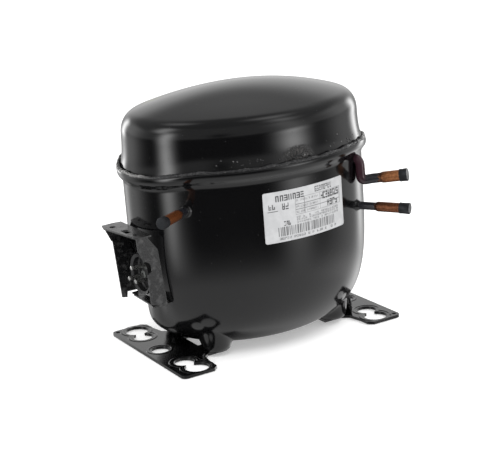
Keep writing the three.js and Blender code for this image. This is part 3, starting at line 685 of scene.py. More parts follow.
ALUMINIUM = BarePart("cast_aluminium", (0.6, 0.61, 0.62), (0.42, 0.43, 0.44), 0.42, 0.9)
BRASS = BarePart("brass", (0.62, 0.44, 0.16), (0.4, 0.27, 0.09), 0.34, 0.95, Grain.TURNED)
NYLON = BarePart("moulded_nylon", (0.62, 0.58, 0.5), (0.5, 0.46, 0.39), 0.45, 0.0)
FIBRE = BarePart("gasket_fibre", (0.09, 0.12, 0.1), (0.05, 0.07, 0.06), 0.8, 0.0)
COPPER_TUBE = BarePart("inner_copper", (0.6, 0.28, 0.15), (0.38, 0.16, 0.08), 0.34, 0.95)


class Dresser:
    """Gives pieces their materials and bodies, and counts them."""

    def __init__(self) -> None:
        """Starts with no material made."""
        self.made: dict[str, bpy.types.Material] = {}
        self.slot_of = {part["node"]: part["material_slot"] for part in frame["record"]["subparts"]}
        self.count = 0

    def material(self, finish: object) -> bpy.types.Material:
        """The material of a finish, made once."""
        if finish.name not in self.made:
            self.made[finish.name] = finish.material()
        return self.made[finish.name]

    def wear(self, piece: bpy.types.Object, finish: object, node: str, body: str = "shell",
             replaces: bool = True) -> bpy.types.Object:
        """Finishes one new piece.

        Args:
            piece: The new object.
            finish: Its finish.
            node: The CAD node it belongs to, which it hides when it replaces it.
            body: The CAD body it rides on.
            replaces: Whether it stands for that node.

        Returns:
            The same object.
        """
        piece.data.materials.clear()
        piece.data.materials.append(self.material(finish))
        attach(piece, body)
        if replaces:
            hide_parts(node)
        self.count += 1
        log.info("%s: %d vertices, on %s", piece.name, len(piece.data.vertices), body)
        return piece

    def keep(self, nodes: Iterable[str], finish: object) -> None:
        """Gives CAD nodes that stay their finish."""
        for node in nodes:
            mesh = frame["nodes"][node].data
            mesh.materials.clear()
            mesh.materials.append(self.material(finish))
            self.count += 1


# ------------------------------------------------------------------ the shell
@dataclass(frozen=True)
class Oval:
    """Plan shape of the shell: an even offset of one oval near the wall, a plain oval at the centre."""

    long: float = 98.2
    short: float = 78.8

    def short_half(self, long: np.ndarray) -> np.ndarray:
        """Half-axis along Y that goes with a half-axis along X: l - (L - S)(1 - (1 - l/L)^2)."""
        inward = 1 - np.minimum(1, long / self.long)
        return long - (self.long - self.short) * (1 - inward**2)

    def sweep(self, profile: np.ndarray, segments: int) -> np.ndarray:
        """Carries a (half-axis, height) profile round: x = l cos t, y = s(l) sin t.

        Args:
            profile: Rows of half-axis along X and height.
            segments: Points round the oval.

        Returns:
            Points shaped (segments, rows, 3).
        """
        long, height = np.asarray(profile, float).T
        angle = (np.arange(segments) * TAU / segments)[:, None]
        x = np.cos(angle) * long
        y = np.sin(angle) * self.short_half(long)
        return np.stack([x, y, np.broadcast_to(height, x.shape)], -1)

    def half_axis(self, x: np.ndarray, y: np.ndarray) -> np.ndarray:
        """The half-axis whose oval passes through (x, y), found by halving an interval."""
        low, high = np.zeros_like(x), np.full_like(x, 1.3 * self.long)
        for _ in range(36):
            middle = (low + high) / 2
            outside = (x / middle) ** 2 + (y / self.short_half(middle)) ** 2 > 1
            low, high = np.where(outside, middle, low), np.where(outside, high, middle)
        return (low + high) / 2


OVAL = Oval()


@dataclass
class Shell:
    """The pressed lower shell, its cover and the weld that joins them."""

    sheet: float = 3.0
    lip_top: float = 150.8
    bowl_start: float = 125.0
    bowl_bottom: float = 3.2
    bowl_power: float = 4.2
    skirt_long: float = 99.2
    cover_long: float = 96.35
    shoulder_z: float = 173.62
    shoulder_radius: float = 14.5
    shoulder_turn: float = 72.0
    crown_top: float = 201.7
    crown_drop: float = 17.8
    seat_centre: tuple[float, float] = (54.0, 31.0)
    seat_radius: float = 11.5
    seat_bottom: float = 2.7
    seat_round: float = 5.0
    seat_blend: float = 9.0
    seat_ceiling: float = 70.0
    seat_steepness: float = 6.0
    terminal: tuple[float, float, float] = TERMINAL_CENTRE
    terminal_sink: float = 8.0
    terminal_hole: float = 15.2
    tuck_in: float = 5.0
    tuck_out: float = 3.0
    end_dip: float = 4.4
    seam_long: float = 100.7
    seam_z: float = 151.1
    segments: int = 420
    spacing: float = 1.35

    def dip_ends(self, points: np.ndarray) -> np.ndarray:
        """Lowers the joint smoothly towards the two ends of the long axis."""
        x, z = points[..., 0], points[..., 2]
        near_rim = smooth_step(z, 116, 141) * (1 - smooth_step(z, 159, 192))
        dipped = points.copy()
        dipped[..., 2] -= self.end_dip * smooth_step(np.abs(x), 68, 102) * near_rim
        return dipped

    def bowl_height(self, long: np.ndarray, inset: float) -> np.ndarray:
        """Height of the bowl over a half-axis: z0 - D (1 - (l/L)^p)^(1/p)."""
        wall, drop = OVAL.long - inset, self.bowl_start - self.bowl_bottom - inset
        share = np.clip(long / wall, 0, 1) ** self.bowl_power
        return self.bowl_start - drop * (1 - share) ** (1 / self.bowl_power)

    def bowl(self, inset: float) -> np.ndarray:
        """Bowl profile from the centre to the wall, as a superellipse of two angles' powers."""
        turn = np.linspace(math.pi / 2, 0, 1200)
        long = (OVAL.long - inset) * np.cos(turn) ** (2 / self.bowl_power)
        drop = (self.bowl_start - self.bowl_bottom - inset) * np.sin(turn) ** (2 / self.bowl_power)
        profile = np.stack([long, self.bowl_start - drop], 1)
        profile[0, 0] = 0
        return evenly(profile, self.spacing)

    def press_seats(self, points: np.ndarray, inset: float) -> np.ndarray:
        """Presses four round spring seats down into the bowl.

        The grid is first drawn in towards each seat's wall, then each point takes the lower of the bowl and
        a flat-bottomed cup whose wall rises steeply past its radius.

        Args:
            points: Bowl points.
            inset: How far this face is inside the outer one.

        Returns:
            The pressed points.
        """
        low = points[..., 2] < self.seat_ceiling
        pressed = points.copy()
        for sx in (-1, 1):
            for sy in (-1, 1):
                centre = np.array((sx * self.seat_centre[0], sy * self.seat_centre[1]))
                away = pressed[..., :2] - centre
                distance = np.linalg.norm(away, axis=-1) + 1e-9
                radius = self.seat_radius - inset
                pull = 0.75 * (radius + 0.4 - distance) * np.exp(-(((distance - radius) / 2.0) ** 2))
                moved = pressed[..., :2] + away * (pull / distance)[..., None]
                near = (low & (distance < radius + 7))[..., None]
                pressed[..., :2] = np.where(near, moved, pressed[..., :2])
        bowl = self.bowl_height(OVAL.half_axis(pressed[..., 0], pressed[..., 1]), inset)
        height = np.where(low, bowl, pressed[..., 2])
        for sx in (-1, 1):
            for sy in (-1, 1):
                centre = np.array((sx * self.seat_centre[0], sy * self.seat_centre[1]))
                distance = np.linalg.norm(pressed[..., :2] - centre, axis=-1)
                radius = self.seat_radius - inset
                edge = np.clip((distance - radius + self.seat_round) / self.seat_round, 0, 0.985)
                cup = self.seat_bottom + inset + self.seat_round * (1 - np.sqrt(1 - edge**2))
                cup = cup + self.seat_steepness * np.maximum(0, distance - radius + 0.1)
                pressed_down = smooth_min(height, cup, self.seat_blend)
                height = np.where(low, pressed_down, height)
        pressed[..., 2] = height
        return pressed

    def tuck_end(self, points: np.ndarray) -> np.ndarray:
        """Squares up the bowl's terminal end: its wall moves in at mid height and out near the bottom."""
        x, y, z = points[..., 0], points[..., 1], points[..., 2]
        share = smooth_step(-x, 35, 75) * smooth_step(y, -30, -8) * (1 - smooth_step(y, 32, 62))
        shift = (self.tuck_in * np.exp(-(((z - 46) / 14) ** 2))
                 - self.tuck_out * np.exp(-(((z - 21) / 8) ** 2)))
        tucked = points.copy()
        tucked[..., 0] += share * shift
        return tucked

    def sink_terminal(self, points: np.ndarray) -> np.ndarray:
        """Draws the wall inwards behind the terminal's cup, so that the cup's hollow stays open."""
        _, cy, cz = self.terminal
        distance = np.hypot(points[..., 1] - cy, points[..., 2] - cz)
        share = 1 - smooth_step(distance, self.terminal_hole - 0.6, self.terminal_hole + 0.6)
        sunk = points.copy()
        sunk[..., 0] += np.where(points[..., 0] < 0, self.terminal_sink * share, 0)
        return sunk

    def lower(self) -> bpy.types.Object:
        """The lower shell: bowl, wall and flared lip, carried round as one closed sheet."""
        lip_out = rounded_path([(98.2, 125.6), (98.2, 140.8), (102.2, 145.6), (102.4, 150.8), (99.6, 150.8),
                                (99.5, 146.2), (95.2, 144.0), (95.2, 125.6)], 2.4)
        lip = evenly(lip_out, 0.8)
        outer, inner = self.bowl(0.0), self.bowl(self.sheet)[::-1]
        split, turn_back = len(outer), len(outer) + len(lip)
        points = OVAL.sweep(np.concatenate([outer, lip, inner]), self.segments)
        outside = self.press_seats(points[:, :split], 0.0)
        inside = self.press_seats(points[:, turn_back:], self.sheet)
        points = np.concatenate([outside, points[:, split:turn_back], inside], axis=1)
        return grid_object("lower_shell_smooth", self.dip_ends(self.sink_terminal(self.tuck_end(points))))

    def cover_profile(self, inset: float) -> np.ndarray:
        """Cover profile from the crown's centre down to the skirt's foot, `inset` inside the outer face."""
        reach = self.shoulder_radius * (1 - math.cos(math.radians(self.shoulder_turn)))
        share = np.linspace(0, 1 - reach / self.cover_long, 140)
        crown = np.stack([self.cover_long * share, self.crown_top - inset - self.crown_drop * share**2], 1)
        turn = np.radians(np.linspace(self.shoulder_turn, 0, 40))
        radius = self.shoulder_radius - inset
        shoulder = np.stack([self.cover_long - self.shoulder_radius + radius * np.cos(turn),
                             self.shoulder_z + radius * np.sin(turn)], 1)
        long = self.cover_long - inset
        wall = rounded_path([(long, 172.5), (long + 0.2, 166.0), (long + 0.95, 158.0),
                             (self.skirt_long - inset, self.lip_top),
                             (self.skirt_long - inset, 145.6)], 4.0)
        return np.concatenate([crown, shoulder, wall])

    def cover(self) -> bpy.types.Object:
        """The cover: crown, shoulder and skirt, as one closed sheet."""
        outer = evenly(self.cover_profile(0.0), self.spacing * 0.75)
        kernel = np.ones(5) / 5
        eased = np.stack([np.convolve(axis, kernel, "same") for axis in outer.T], 1)
        outer[4:-6] = eased[4:-6]
        inner = evenly(self.cover_profile(self.sheet), self.spacing * 2)[::-1]
        points = OVAL.sweep(np.concatenate([outer, inner]), self.segments)
        return grid_object("top_cover_smooth", self.dip_ends(points))

    def seam(self) -> bpy.types.Object:
        """The weld bead between lip and cover: a flattened section whose size ripples like laid metal."""
        steps, segments = 1500, 18
        angle = np.arange(steps) * TAU / steps
        long = self.seam_long
        path = np.stack([long * np.cos(angle), OVAL.short_half(np.array(long)) * np.sin(angle),
                         np.full(steps, self.seam_z)], 1)
        path[:, 2] += 0.35 * ripple(path, 17, 3)
        puddle = np.abs(np.sin(angle * 150 + 1.2 * ripple(path, 30, 4)))
        radii = 1.2 + 0.16 * puddle + 0.2 * ripple(path, 9, 5) + 0.12 * ripple(path, 3.2, 6)
        path = self.dip_ends(path)
        bead = swept("weld_bead", path, np.clip(radii, 0.8, 2.0), (0, 0, 1), segments, closed=True,
                     height_share=1.1)
        self.roughen(bead, 0.1, 1.9, 7)
        return bead

    def run_out(self) -> bpy.types.Object:
        """The lump where the weld ends: a ball drawn out along the lip and roughened."""
        polar = np.linspace(0, math.pi, 40)
        profile = np.stack([3.4 * np.sin(polar), -4.3 * np.cos(polar)], 1)
        lump = turned("weld_run_out", profile, (101.0, 0.6, 151.2), (0.0, 0.25, 1.0), 60)
        self.roughen(lump, 0.55, 4.2, 11)
        self.roughen(lump, 0.22, 1.7, 12)
        return lump

    def roughen(self, piece: bpy.types.Object, depth: float, wavelength: float, seed: int) -> None:
        """Moves each point along its normal by seeded ripples."""
        mesh = piece.data
        count = len(mesh.vertices)
        place, normal = np.empty(count * 3, np.float32), np.empty(count * 3, np.float32)
        mesh.vertices.foreach_get("co", place)
        mesh.vertices.foreach_get("normal", normal)
        place, normal = place.reshape(-1, 3), normal.reshape(-1, 3)
        moved = place + normal * (depth * MM * ripple(place / MM, wavelength, seed))[:, None]
        mesh.vertices.foreach_set("co", moved.astype(np.float32).ravel())
        mesh.update()

    def spatter(self) -> bpy.types.Object:
        """Small drops of weld metal on the cover above the seam."""
        rng = np.random.default_rng(21)
        count = 110
        x = np.concatenate([rng.normal(2.0, 5.5, 70), rng.normal(-40, 18, 20), rng.normal(60, 16, 20)])
        height = 153.6 + np.abs(rng.normal(0, 3.2, count))
        long = np.interp(height, (150.8, 158.0, 166.0), (99.2, 97.3, 96.55))
        x = np.clip(x, -90, 90)
        y = -OVAL.short_half(long) * np.sqrt(1 - (x / long) ** 2)
        normal = np.stack([x / long**2, y / OVAL.short_half(long) ** 2, np.zeros(count)], 1)
        normal /= np.linalg.norm(normal, axis=1, keepdims=True)
        radii = rng.uniform(0.25, 0.9, count)
        return droplets("weld_spatter", self.dip_ends(np.stack([x, y, height], 1)), radii, normal)

    def build(self, dresser: Dresser) -> None:
        """Builds and dresses every piece of the shell."""
        dresser.wear(self.lower(), SHELL_PAINT, "lower_shell")
        dresser.wear(self.cover(), COVER_PAINT, "top_cover")
        dresser.wear(self.seam(), WELD, "weld_seam")
        dresser.wear(self.run_out(), WELD, "weld_seam", replaces=False)
        dresser.wear(self.spatter(), SPATTER, "weld_seam", replaces=False)


# ------------------------------------------------------------------ the nameplate
STROKES = ((0, 0.26, 0, 1), (0.54, 0.8, 0, 0.52), (0.54, 0.8, 0.48, 1),
           (0, 0.8, 0, 0.2), (0, 0.8, 0.4, 0.6), (0, 0.8, 0.8, 1))


@dataclass
class Nameplate:
    """A film label bent round the wall, with made-up print: word blocks, a table and bars."""

    centre: tuple[float, float] = (6.6, 111.6)
    half: tuple[float, float] = (36.3, 19.4)
    corner: float = 1.5
    face_long: float = 98.85
    back_long: float = 98.4
    pitch: float = 0.3
    ink_dark: float = 0.95

    def layout(self) -> tuple[np.ndarray, np.ndarray]:
        """Share across and share down of each grid point, both 0 to 1."""
        columns = int(2 * self.half[0] / self.pitch)
        rows = int(2 * self.half[1] / self.pitch)
        return np.meshgrid(np.linspace(0, 1, columns), np.linspace(0, 1, rows))

    def stamp(self, ink: np.ndarray, across: np.ndarray, down: np.ndarray,
              area: tuple[float, float, float, float], dark: float) -> None:
        """Prints one solid block.

        Args:
            ink: The print so far, changed in place.
            across: Share across of each point.
            down: Share down of each point.
            area: The block's left, right, top and bottom.
            dark: How dark it is.
        """
        left, right, top, bottom = area
        inside = (across >= left) & (across <= right) & (down >= top) & (down <= bottom)
        ink[inside] = np.maximum(ink[inside], dark)

    def words(self, ink: np.ndarray, across: np.ndarray, down: np.ndarray,
              area: tuple[float, float, float, float], letters: int, dark: float, seed: int) -> None:
        """Prints a row of made-up letters, each a few of six strokes: three lying, three standing."""
        left, right, top, bottom = area
        rng = np.random.default_rng(seed)
        width, height = (right - left) / letters, bottom - top
        for index in range(letters):
            strokes = rng.choice(len(STROKES), rng.integers(3, 6), replace=False)
            if letters > 9 and rng.random() < 0.15:
                continue
            start = left + index * width
            for x0, x1, y0, y1 in (STROKES[stroke] for stroke in strokes):
                cell = (start + x0 * width, start + x1 * width, top + y0 * height, top + y1 * height)
                self.stamp(ink, across, down, cell, dark)

    def whole_print(self) -> np.ndarray:
        """The whole print as one value for each grid point."""
        across, down = self.layout()
        ink = np.zeros_like(across)
        self.words(ink, across, down, (0.13, 0.47, 0.08, 0.2), 7, self.ink_dark, 31)
        self.words(ink, across, down, (0.6, 0.84, 0.05, 0.16), 8, 0.8, 32)
        self.words(ink, across, down, (0.2, 0.28, 0.25, 0.37), 2, self.ink_dark, 33)
        self.words(ink, across, down, (0.05, 0.13, 0.24, 0.34), 2, 0.8, 34)
        self.stamp(ink, across, down, (0.04, 0.15, 0.37, 0.39), 0.8)
        self.words(ink, across, down, (0.68, 0.94, 0.2, 0.34), 8, self.ink_dark, 35)
        self.words(ink, across, down, (0.76, 0.92, 0.38, 0.5), 4, self.ink_dark, 36)
        self.words(ink, across, down, (0.21, 0.29, 0.6, 0.69), 3, self.ink_dark, 37)
        for line in (0.18, 0.31, 0.41, 0.51):
            self.stamp(ink, across, down, (0.35, 0.95, line, line + 0.012), 0.62)
        for edge in (0.35, 0.46, 0.66, 0.945):
            self.stamp(ink, across, down, (edge, edge + 0.006, 0.18, 0.52), 0.62)
        for index, top in enumerate((0.22, 0.35, 0.45, 0.55, 0.6, 0.65)):
            right = 0.64 + 0.28 * (top > 0.5)
            self.words(ink, across, down, (0.36, right, top, top + 0.04), 22, 0.6, 40 + index)
        self.bars(ink, across, down)
        self.words(ink, across, down, (0.15, 0.88, 0.91, 0.96), 26, 0.75, 50)
        return ink

    def bars(self, ink: np.ndarray, across: np.ndarray, down: np.ndarray) -> None:
        """Prints upright bars of random width."""
        rng = np.random.default_rng(51)
        at = 0.145
        while at < 0.86:
            width = rng.choice((0.005, 0.008, 0.012))
            self.stamp(ink, across, down, (at, at + width, 0.71, 0.89), 0.85)
            at += width + rng.choice((0.005, 0.008, 0.013))

    def surface(self, long: float, across: np.ndarray, down: np.ndarray) -> np.ndarray:
        """Points on the wall's oval: the film's width shrinks near its top and bottom for the corners."""
        z = self.half[1] * (1 - 2 * down)
        past = np.maximum(0, np.abs(z) - (self.half[1] - self.corner))
        half = self.half[0] - self.corner + np.sqrt(np.maximum(0, self.corner**2 - past**2))
        x = self.centre[0] + half * (2 * across - 1)
        short = OVAL.short_half(np.array(98.2)) + long - 98.2
        y = -short * np.sqrt(1 - (x / long) ** 2)
        return np.stack([x, y, z + self.centre[1]], -1)

    def film(self) -> bpy.types.Object:
        """The film as one closed mesh: face and back are two grids joined round their edges."""
        across, down = self.layout()
        face = self.surface(self.face_long, across, down)
        back = self.surface(self.back_long, across, down)
        loop = np.concatenate([face, back[:, ::-1]], axis=1)
        ink = np.concatenate([self.whole_print(), np.zeros_like(across)], axis=1)
        top, bottom = loop[:1].copy(), loop[-1:].copy()
        columns = across.shape[1]
        for rim in (top, bottom):
            rim[0, columns:] = rim[0, :columns][::-1]
        loop = np.concatenate([top, loop, bottom])
        ink = np.concatenate([np.zeros_like(ink[:1]), ink, np.zeros_like(ink[:1])])
        return grid_object("nameplate_film", loop, close_rows=False, close_columns=True, marks={"ink": ink})

    def build(self, dresser: Dresser) -> None:
        """Builds and dresses the label."""
        dresser.wear(self.film(), PrintedLabel(), "nameplate")


# ------------------------------------------------------------------ tubes
@dataclass
class TubeStub:
    """A copper tube stub with a swaged end and a rubber plug."""

    name: str
    root: tuple[float, float, float]
    out: tuple[float, float, float]
    neck: float
    end_radius: float
    inside: float
    flare: float
    end: float
    plug_start: float
    plug_end: float
    plug_radius: float
    finish: PaintedCopper
    lead: tuple[tuple[float, float, float], ...] = ()
    wall: float = 0.9

    def outer_radius(self, along: np.ndarray) -> np.ndarray:
        """Outside radius along the stub: the neck swells smoothly into the end."""
        return self.neck + (self.end_radius - self.neck) * smooth_step(along, self.flare, self.flare + 2.5)

    def tube(self) -> bpy.types.Object:
        """The tube: outer wall out to the end, and the bore back a short way, as one closed skin."""
        out = unit(self.out)
        along = np.arange(self.inside, self.end + 0.01, 0.5)
        straight = np.asarray(self.root) + along[:, None] * out
        if self.lead:
            before = evenly(rounded_path([*self.lead, tuple(straight[0])], 5.5, 12), 0.5)[:-1]
            run = np.linalg.norm(np.diff(np.r_[before, straight[:1]], axis=0), axis=1)
            along = np.r_[along[0] - run[::-1].cumsum()[::-1], along]
            straight = np.r_[before, straight]
        depth = 14
        path = np.r_[straight, straight[-depth:][::-1]]
        radii = np.r_[self.outer_radius(along), np.full(depth, self.end_radius - self.wall)]
        side = np.cross(out, (0, 0, 1))
        ahead = np.gradient(straight, axis=0)
        ahead = np.r_[ahead, ahead[-depth:][::-1]]
        ahead /= np.linalg.norm(ahead, axis=1, keepdims=True)
        across = np.cross(ahead, side)
        across /= np.linalg.norm(across, axis=1, keepdims=True)
        other = np.cross(across, ahead)
        angle = np.arange(32) * TAU / 32
        ring = np.cos(angle)[None, :, None] * across[:, None] + np.sin(angle)[None, :, None] * other[:, None]
        grid = path[:, None] + radii[:, None, None] * ring
        caps = [np.repeat(path[i][None, None], 32, axis=1) for i in (0, -1)]
        grid = np.concatenate([caps[0], grid, caps[1]])
        stored = np.r_[along[0], along, along[-depth:][::-1], along[-depth]]
        marks = {"along": np.broadcast_to(stored[:, None], grid.shape[:2])}
        return grid_object(f"{self.name}_copper", grid, close_rows=False, close_columns=True, marks=marks)

    def plug(self) -> bpy.types.Object:
        """The plug: a cup with a rolled rim and a slightly domed end."""
        inner = self.end_radius + 0.15
        radius = self.plug_radius
        outline = rounded_path([(0, self.end + 0.3), (inner, self.end + 0.3), (inner, self.plug_start),
                                (radius + 0.05, self.plug_start), (radius - 0.1, self.plug_start + 2.2),
                                (radius + 0.15, self.plug_end), (radius * 0.55, self.plug_end),
                                (0, self.plug_end)], 0.55, 5)
        return turned(f"{self.name}_cap", outline, self.root, self.out, 48)

    def fillet(self) -> bpy.types.Object:
        """The braze fillet round the root: a low cone with a lumpy edge."""
        start = self.fillet_at
        neck = self.neck
        outline = [(neck - 0.4, start - 3.0), (neck + 2.6, start - 3.0), (neck + 2.4, start - 0.6),
                   (neck + 1.1, start + 0.6), (neck + 0.3, start + 2.6), (neck - 0.4, start + 2.8),
                   (neck - 0.4, start - 3.0)]
        profile = evenly(rounded_path(outline, 0.8), 0.4)
        return turned(f"{self.name}_braze", profile, self.root, self.out, 48)

    @property
    def fillet_at(self) -> float:
        """Where the tube leaves the wall, as a distance from its root."""
        reach = np.arange(-10.0, 14.0, 0.1)
        points = np.asarray(self.root) + reach[:, None] * unit(self.out)
        outside = OVAL.half_axis(points[:, 0], points[:, 1]) > OVAL.long
        return float(reach[np.argmax(outside)])

    def build(self, dresser: Dresser) -> None:
        """Builds and dresses the stub."""
        dresser.wear(self.tube(), self.finish, self.name)
        dresser.wear(self.plug(), RUBBER, f"{self.name}_plug")
        if not self.lead:
            dresser.wear(self.fillet(), SHELL_PAINT, self.name, replaces=False)


STUBS = (
    TubeStub("discharge_tube", (64.4, -59.5, 100.4), (0.572, -0.82, -0.018), 3.1, 3.9, -6, 15, 39.5, 34.8, 42.9,
             4.3, PaintedCopper("discharge_copper", (0.2, 0.075, 0.035), 15.5)),
    TubeStub("process_tube", (-79, -46.7, 122.5), (-0.735, -0.67, 0.095), 3.3, 3.9, -6, 14, 45, 42, 48,
             4.3, PaintedCopper("process_copper", (0.42, 0.13, 0.04), 14.0)),
    TubeStub("suction_tube", (70.8, -61.8, 120.4), (0.652, -0.752, 0.12), 3.8, 4.4, 11, 13, 31.5, 28.5, 34.6,
             4.9, PaintedCopper("suction_copper", (0.42, 0.17, 0.07), 13.0),
             lead=((60.5, -49.0, 137.6), (66.9, -62.2, 137.6), (67.3, -62.5, 120.2), (74.7, -66.3, 121.1))),
)


# ------------------------------------------------------------------ feet
@dataclass
class FootRails:
    """Two foot rails cut from one pressing, with raised beads round their holes and a weld at the ear."""

    top: float = 2.4
    half_length: float = 62.0
    big: tuple[float, float, float] = (82.55, 50.8, 9.5)
    small: tuple[float, float, float] = (85.0, 35.0, 8.1)
    middle: tuple[float, float, float] = (87.6, 0.0, 7.5)
    bead_gap: float = 2.7
    bead_half: float = 1.3

    def keyhole_path(self, near: int) -> np.ndarray:
        """Outline of the two joined holes, grown by the bead's gap: the points of either circle that
        lie outside the other, in one loop."""
        steps = 240
        angle = np.arange(steps) * TAU / steps
        loops = []
        pair = (self.big, self.small)
        for (cx, cy, r), (ox, oy, other) in (pair, pair[::-1]):
            points = np.stack([cx + (r + self.bead_gap) * np.cos(angle),
                               cy + (r + self.bead_gap) * np.sin(angle)], 1)
            outside = np.hypot(points[:, 0] - ox, points[:, 1] - oy) > other + self.bead_gap
            first = int(np.argmax(outside & ~np.roll(outside, 1)))
            loops.append(np.roll(points, -first, axis=0)[np.roll(outside, -first)])
        loop = evenly(np.concatenate([*loops, loops[0][:1]]), 0.6)[:-1]
        loop = (np.roll(loop, 1, 0) + loop + np.roll(loop, -1, 0)) / 3
        return np.stack([loop[:, 0], near * loop[:, 1], np.full(len(loop), self.top - 0.12)], 1)

    def bead(self, name: str, path: np.ndarray, turn: int) -> bpy.types.Object:
        """A raised bead on the rail's face; it sinks away towards the rail's ends."""
        room = smooth_step(self.half_length - np.abs(path[:, 1]), 1.6, 5.0)
        radii = self.bead_half * (0.25 + 0.75 * room)
        return swept(name, path * (turn, turn, 1), radii, (0, 0, 1), 14, closed=True, height_share=0.38)

    def ring_path(self, radius: float) -> np.ndarray:
        """A level circle round the middle hole."""
        angle = np.arange(120) * TAU / 120
        return np.stack([self.middle[0] + radius * np.cos(angle), self.middle[1] + radius * np.sin(angle),
                         np.full(120, self.top - 0.15)], 1)

    def ear_weld(self) -> bpy.types.Object:
        """The dark rope of weld along the edges of the right rail's ear."""
        corners = [(72.2, -31.4, 2.0), (72.0, -31.6, 12.0), (71.8, -27.4, 21.4), (71.8, -21.6, 21.4),
                   (72.0, -17.6, 12.0), (72.2, -17.4, 2.0)]
        path = evenly(rounded_path(corners, 3.0), 0.4)
        radii = 0.95 + 0.28 * ripple(path, 4.5, 64) + 0.18 * ripple(path, 2, 65)
        return swept("ear_weld", path, np.clip(radii, 0.5, 1.7), (1, 0, 0), 14)

    def build(self, dresser: Dresser) -> None:
        """Builds and dresses both rails."""
        for node, turn in (("foot_rail_right", 1), ("foot_rail_left", -1)):
            dresser.wear(copy_of_node(node, f"{node}_pressing", 0.4), FOOT_PAINT, node)
            for near in (-1, 1):
                end = "near" if near * turn < 0 else "far"
                piece = self.bead(f"{node}_bead_{end}", self.keyhole_path(near), turn)
                dresser.wear(piece, FOOT_PAINT, node, replaces=False)
            ring = self.bead(f"{node}_ring", self.ring_path(self.middle[2] + 2.0), turn)
            dresser.wear(ring, FOOT_PAINT, node, replaces=False)
        dresser.wear(self.ear_weld(), SMALL_WELD, "foot_rail_right", replaces=False)


# ------------------------------------------------------------------ terminal and guard
@dataclass
class Terminal:
    """The sealed terminal, its pins and glass beads, and the sheet guard round it."""

    centre: tuple[float, float, float] = TERMINAL_CENTRE
    pins: tuple[tuple[str, float, float], ...] = (("common", 0, 6.5), ("start", 5.5, -3), ("run", -5.5, -3))
    floor_x: float = -95.5

    def glass(self, name: str, across: float, up: float) -> bpy.types.Object:
        """A glass bead round one pin: a low dome with a hole, on the cup's floor."""
        polar = np.linspace(0.15, math.pi / 2, 14)
        dome = np.stack([1.7 + 2.2 * np.sin(polar), 1.3 * np.cos(polar)], 1)
        profile = np.concatenate([[(1.7, -0.4)], dome, [(3.9, -0.4), (1.7, -0.4)]])
        _, cy, cz = self.centre
        return turned(f"glass_bead_{name}", profile, (self.floor_x, cy + across, cz + up), (-1, 0, 0), 32)

    def tip(self, name: str, across: float, up: float) -> bpy.types.Object:
        """A rounded, bright tip on one pin."""
        polar = np.linspace(0, math.pi / 2, 12)
        dome = np.stack([1.66 * np.cos(polar), 0.5 * np.sin(polar)], 1)
        profile = np.concatenate([[(0, -3)], [(1.66, -3)], dome])
        _, cy, cz = self.centre
        return turned(f"pin_tip_{name}", profile, (-108.0, cy + across, cz + up), (-1, 0, 0), 28)

    def build(self, dresser: Dresser) -> None:
        """Builds and dresses the terminal and its guard."""
        for name, across, up in self.pins:
            dresser.wear(self.glass(name, across, up), GLASS, "terminal_cup", replaces=False)
            dresser.wear(self.tip(name, across, up), PIN_STEEL, f"terminal_pin_{name}", replaces=False)
        dresser.keep([f"terminal_pin_{name}" for name, _, _ in self.pins], PIN_STEEL)
        dresser.wear(copy_of_node("terminal_cup", "terminal_cup_pressing", 0.3), ZINC, "terminal_cup")
        dresser.wear(copy_of_node("terminal_fence", "terminal_guard", 0.2), GuardSheet(), "terminal_fence")
        dresser.wear(copy_of_node("earth_screw", "earth_screw_head", 0.3), ZINC, "earth_screw")


# ------------------------------------------------------------------ inside
@dataclass
class Works:
    """The spring-hung motor and pump, which stay as their CAD solids, and the springs and shock tube, which are
    plain copies of theirs.
    """

    spring_grip: float = 2.0
    tube_ends: tuple[tuple[float, float, float], ...] = ((57.0, -49.2, 107.0), (25.5, 57.5, 148.0))

    def flexible(self, node: str, finish: BarePart,
                 dresser: Dresser) -> None:
        """A plain copy of a CAD node that joins the shell to the pump frame, put in its place with a finish.

        Args:
            node: The CAD node it stands for.
            finish: Its finish.
            dresser: Keeps the finishes.
        """
        piece = copy_of_node(node, f"{node}_flexible", 0.1)
        piece.modifiers.clear()
        piece.data.materials.clear()
        piece.data.materials.append(dresser.material(finish))
        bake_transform(piece)
        dresser.count += 1
        log.info("%s bends between shell and pump frame", piece.name)

    def spring(self, node: str, dresser: Dresser) -> None:
        """A suspension spring, copied as flexible() copies it."""
        self.flexible(node, SPRING, dresser)

    def build(self, dresser: Dresser) -> None:
        """Dresses every inner part."""
        four = range(1, 5)
        dresser.keep(["stator_core"], LAMINATION)
        dresser.keep(["winding_upper", "winding_lower"], ENAMEL)
        dresser.keep(["crankcase", "crankshaft", "counterweight"], IRON)
        dresser.keep(["rotor_core", "cylinder_head"], ALUMINIUM)
        dresser.keep(["suction_reed", "discharge_reed"], SPRING)
        for index in four:
            self.spring(f"suspension_spring_{index}", dresser)
        dresser.keep([f"stator_bolt_{i}" for i in four] + [f"head_bolt_{i}" for i in four], STEEL)
        dresser.keep(["valve_plate", "valve_stop", "discharge_muffler", "oil_pickup", "piston_yoke"], STEEL)
        dresser.keep(["cylinder_gasket", "head_gasket"], FIBRE)
        dresser.keep([f"spring_stud_{i}" for i in four] + ["terminal_connector", "suction_muffler"], NYLON)
        dresser.keep(["thrust_washer", "oil_gallery_plug", "slide_block"], BRASS)
        self.flexible("shock_tube", COPPER_TUBE, dresser)


# ------------------------------------------------------------------ studio
@dataclass(frozen=True)
class Band:
    """A soft-edged glow in the reflected room: its azimuth from +X, spread, height range and strength."""

    azimuth: float
    spread: float
    low: float
    high: float
    strength: float
    edge: float = 7.0


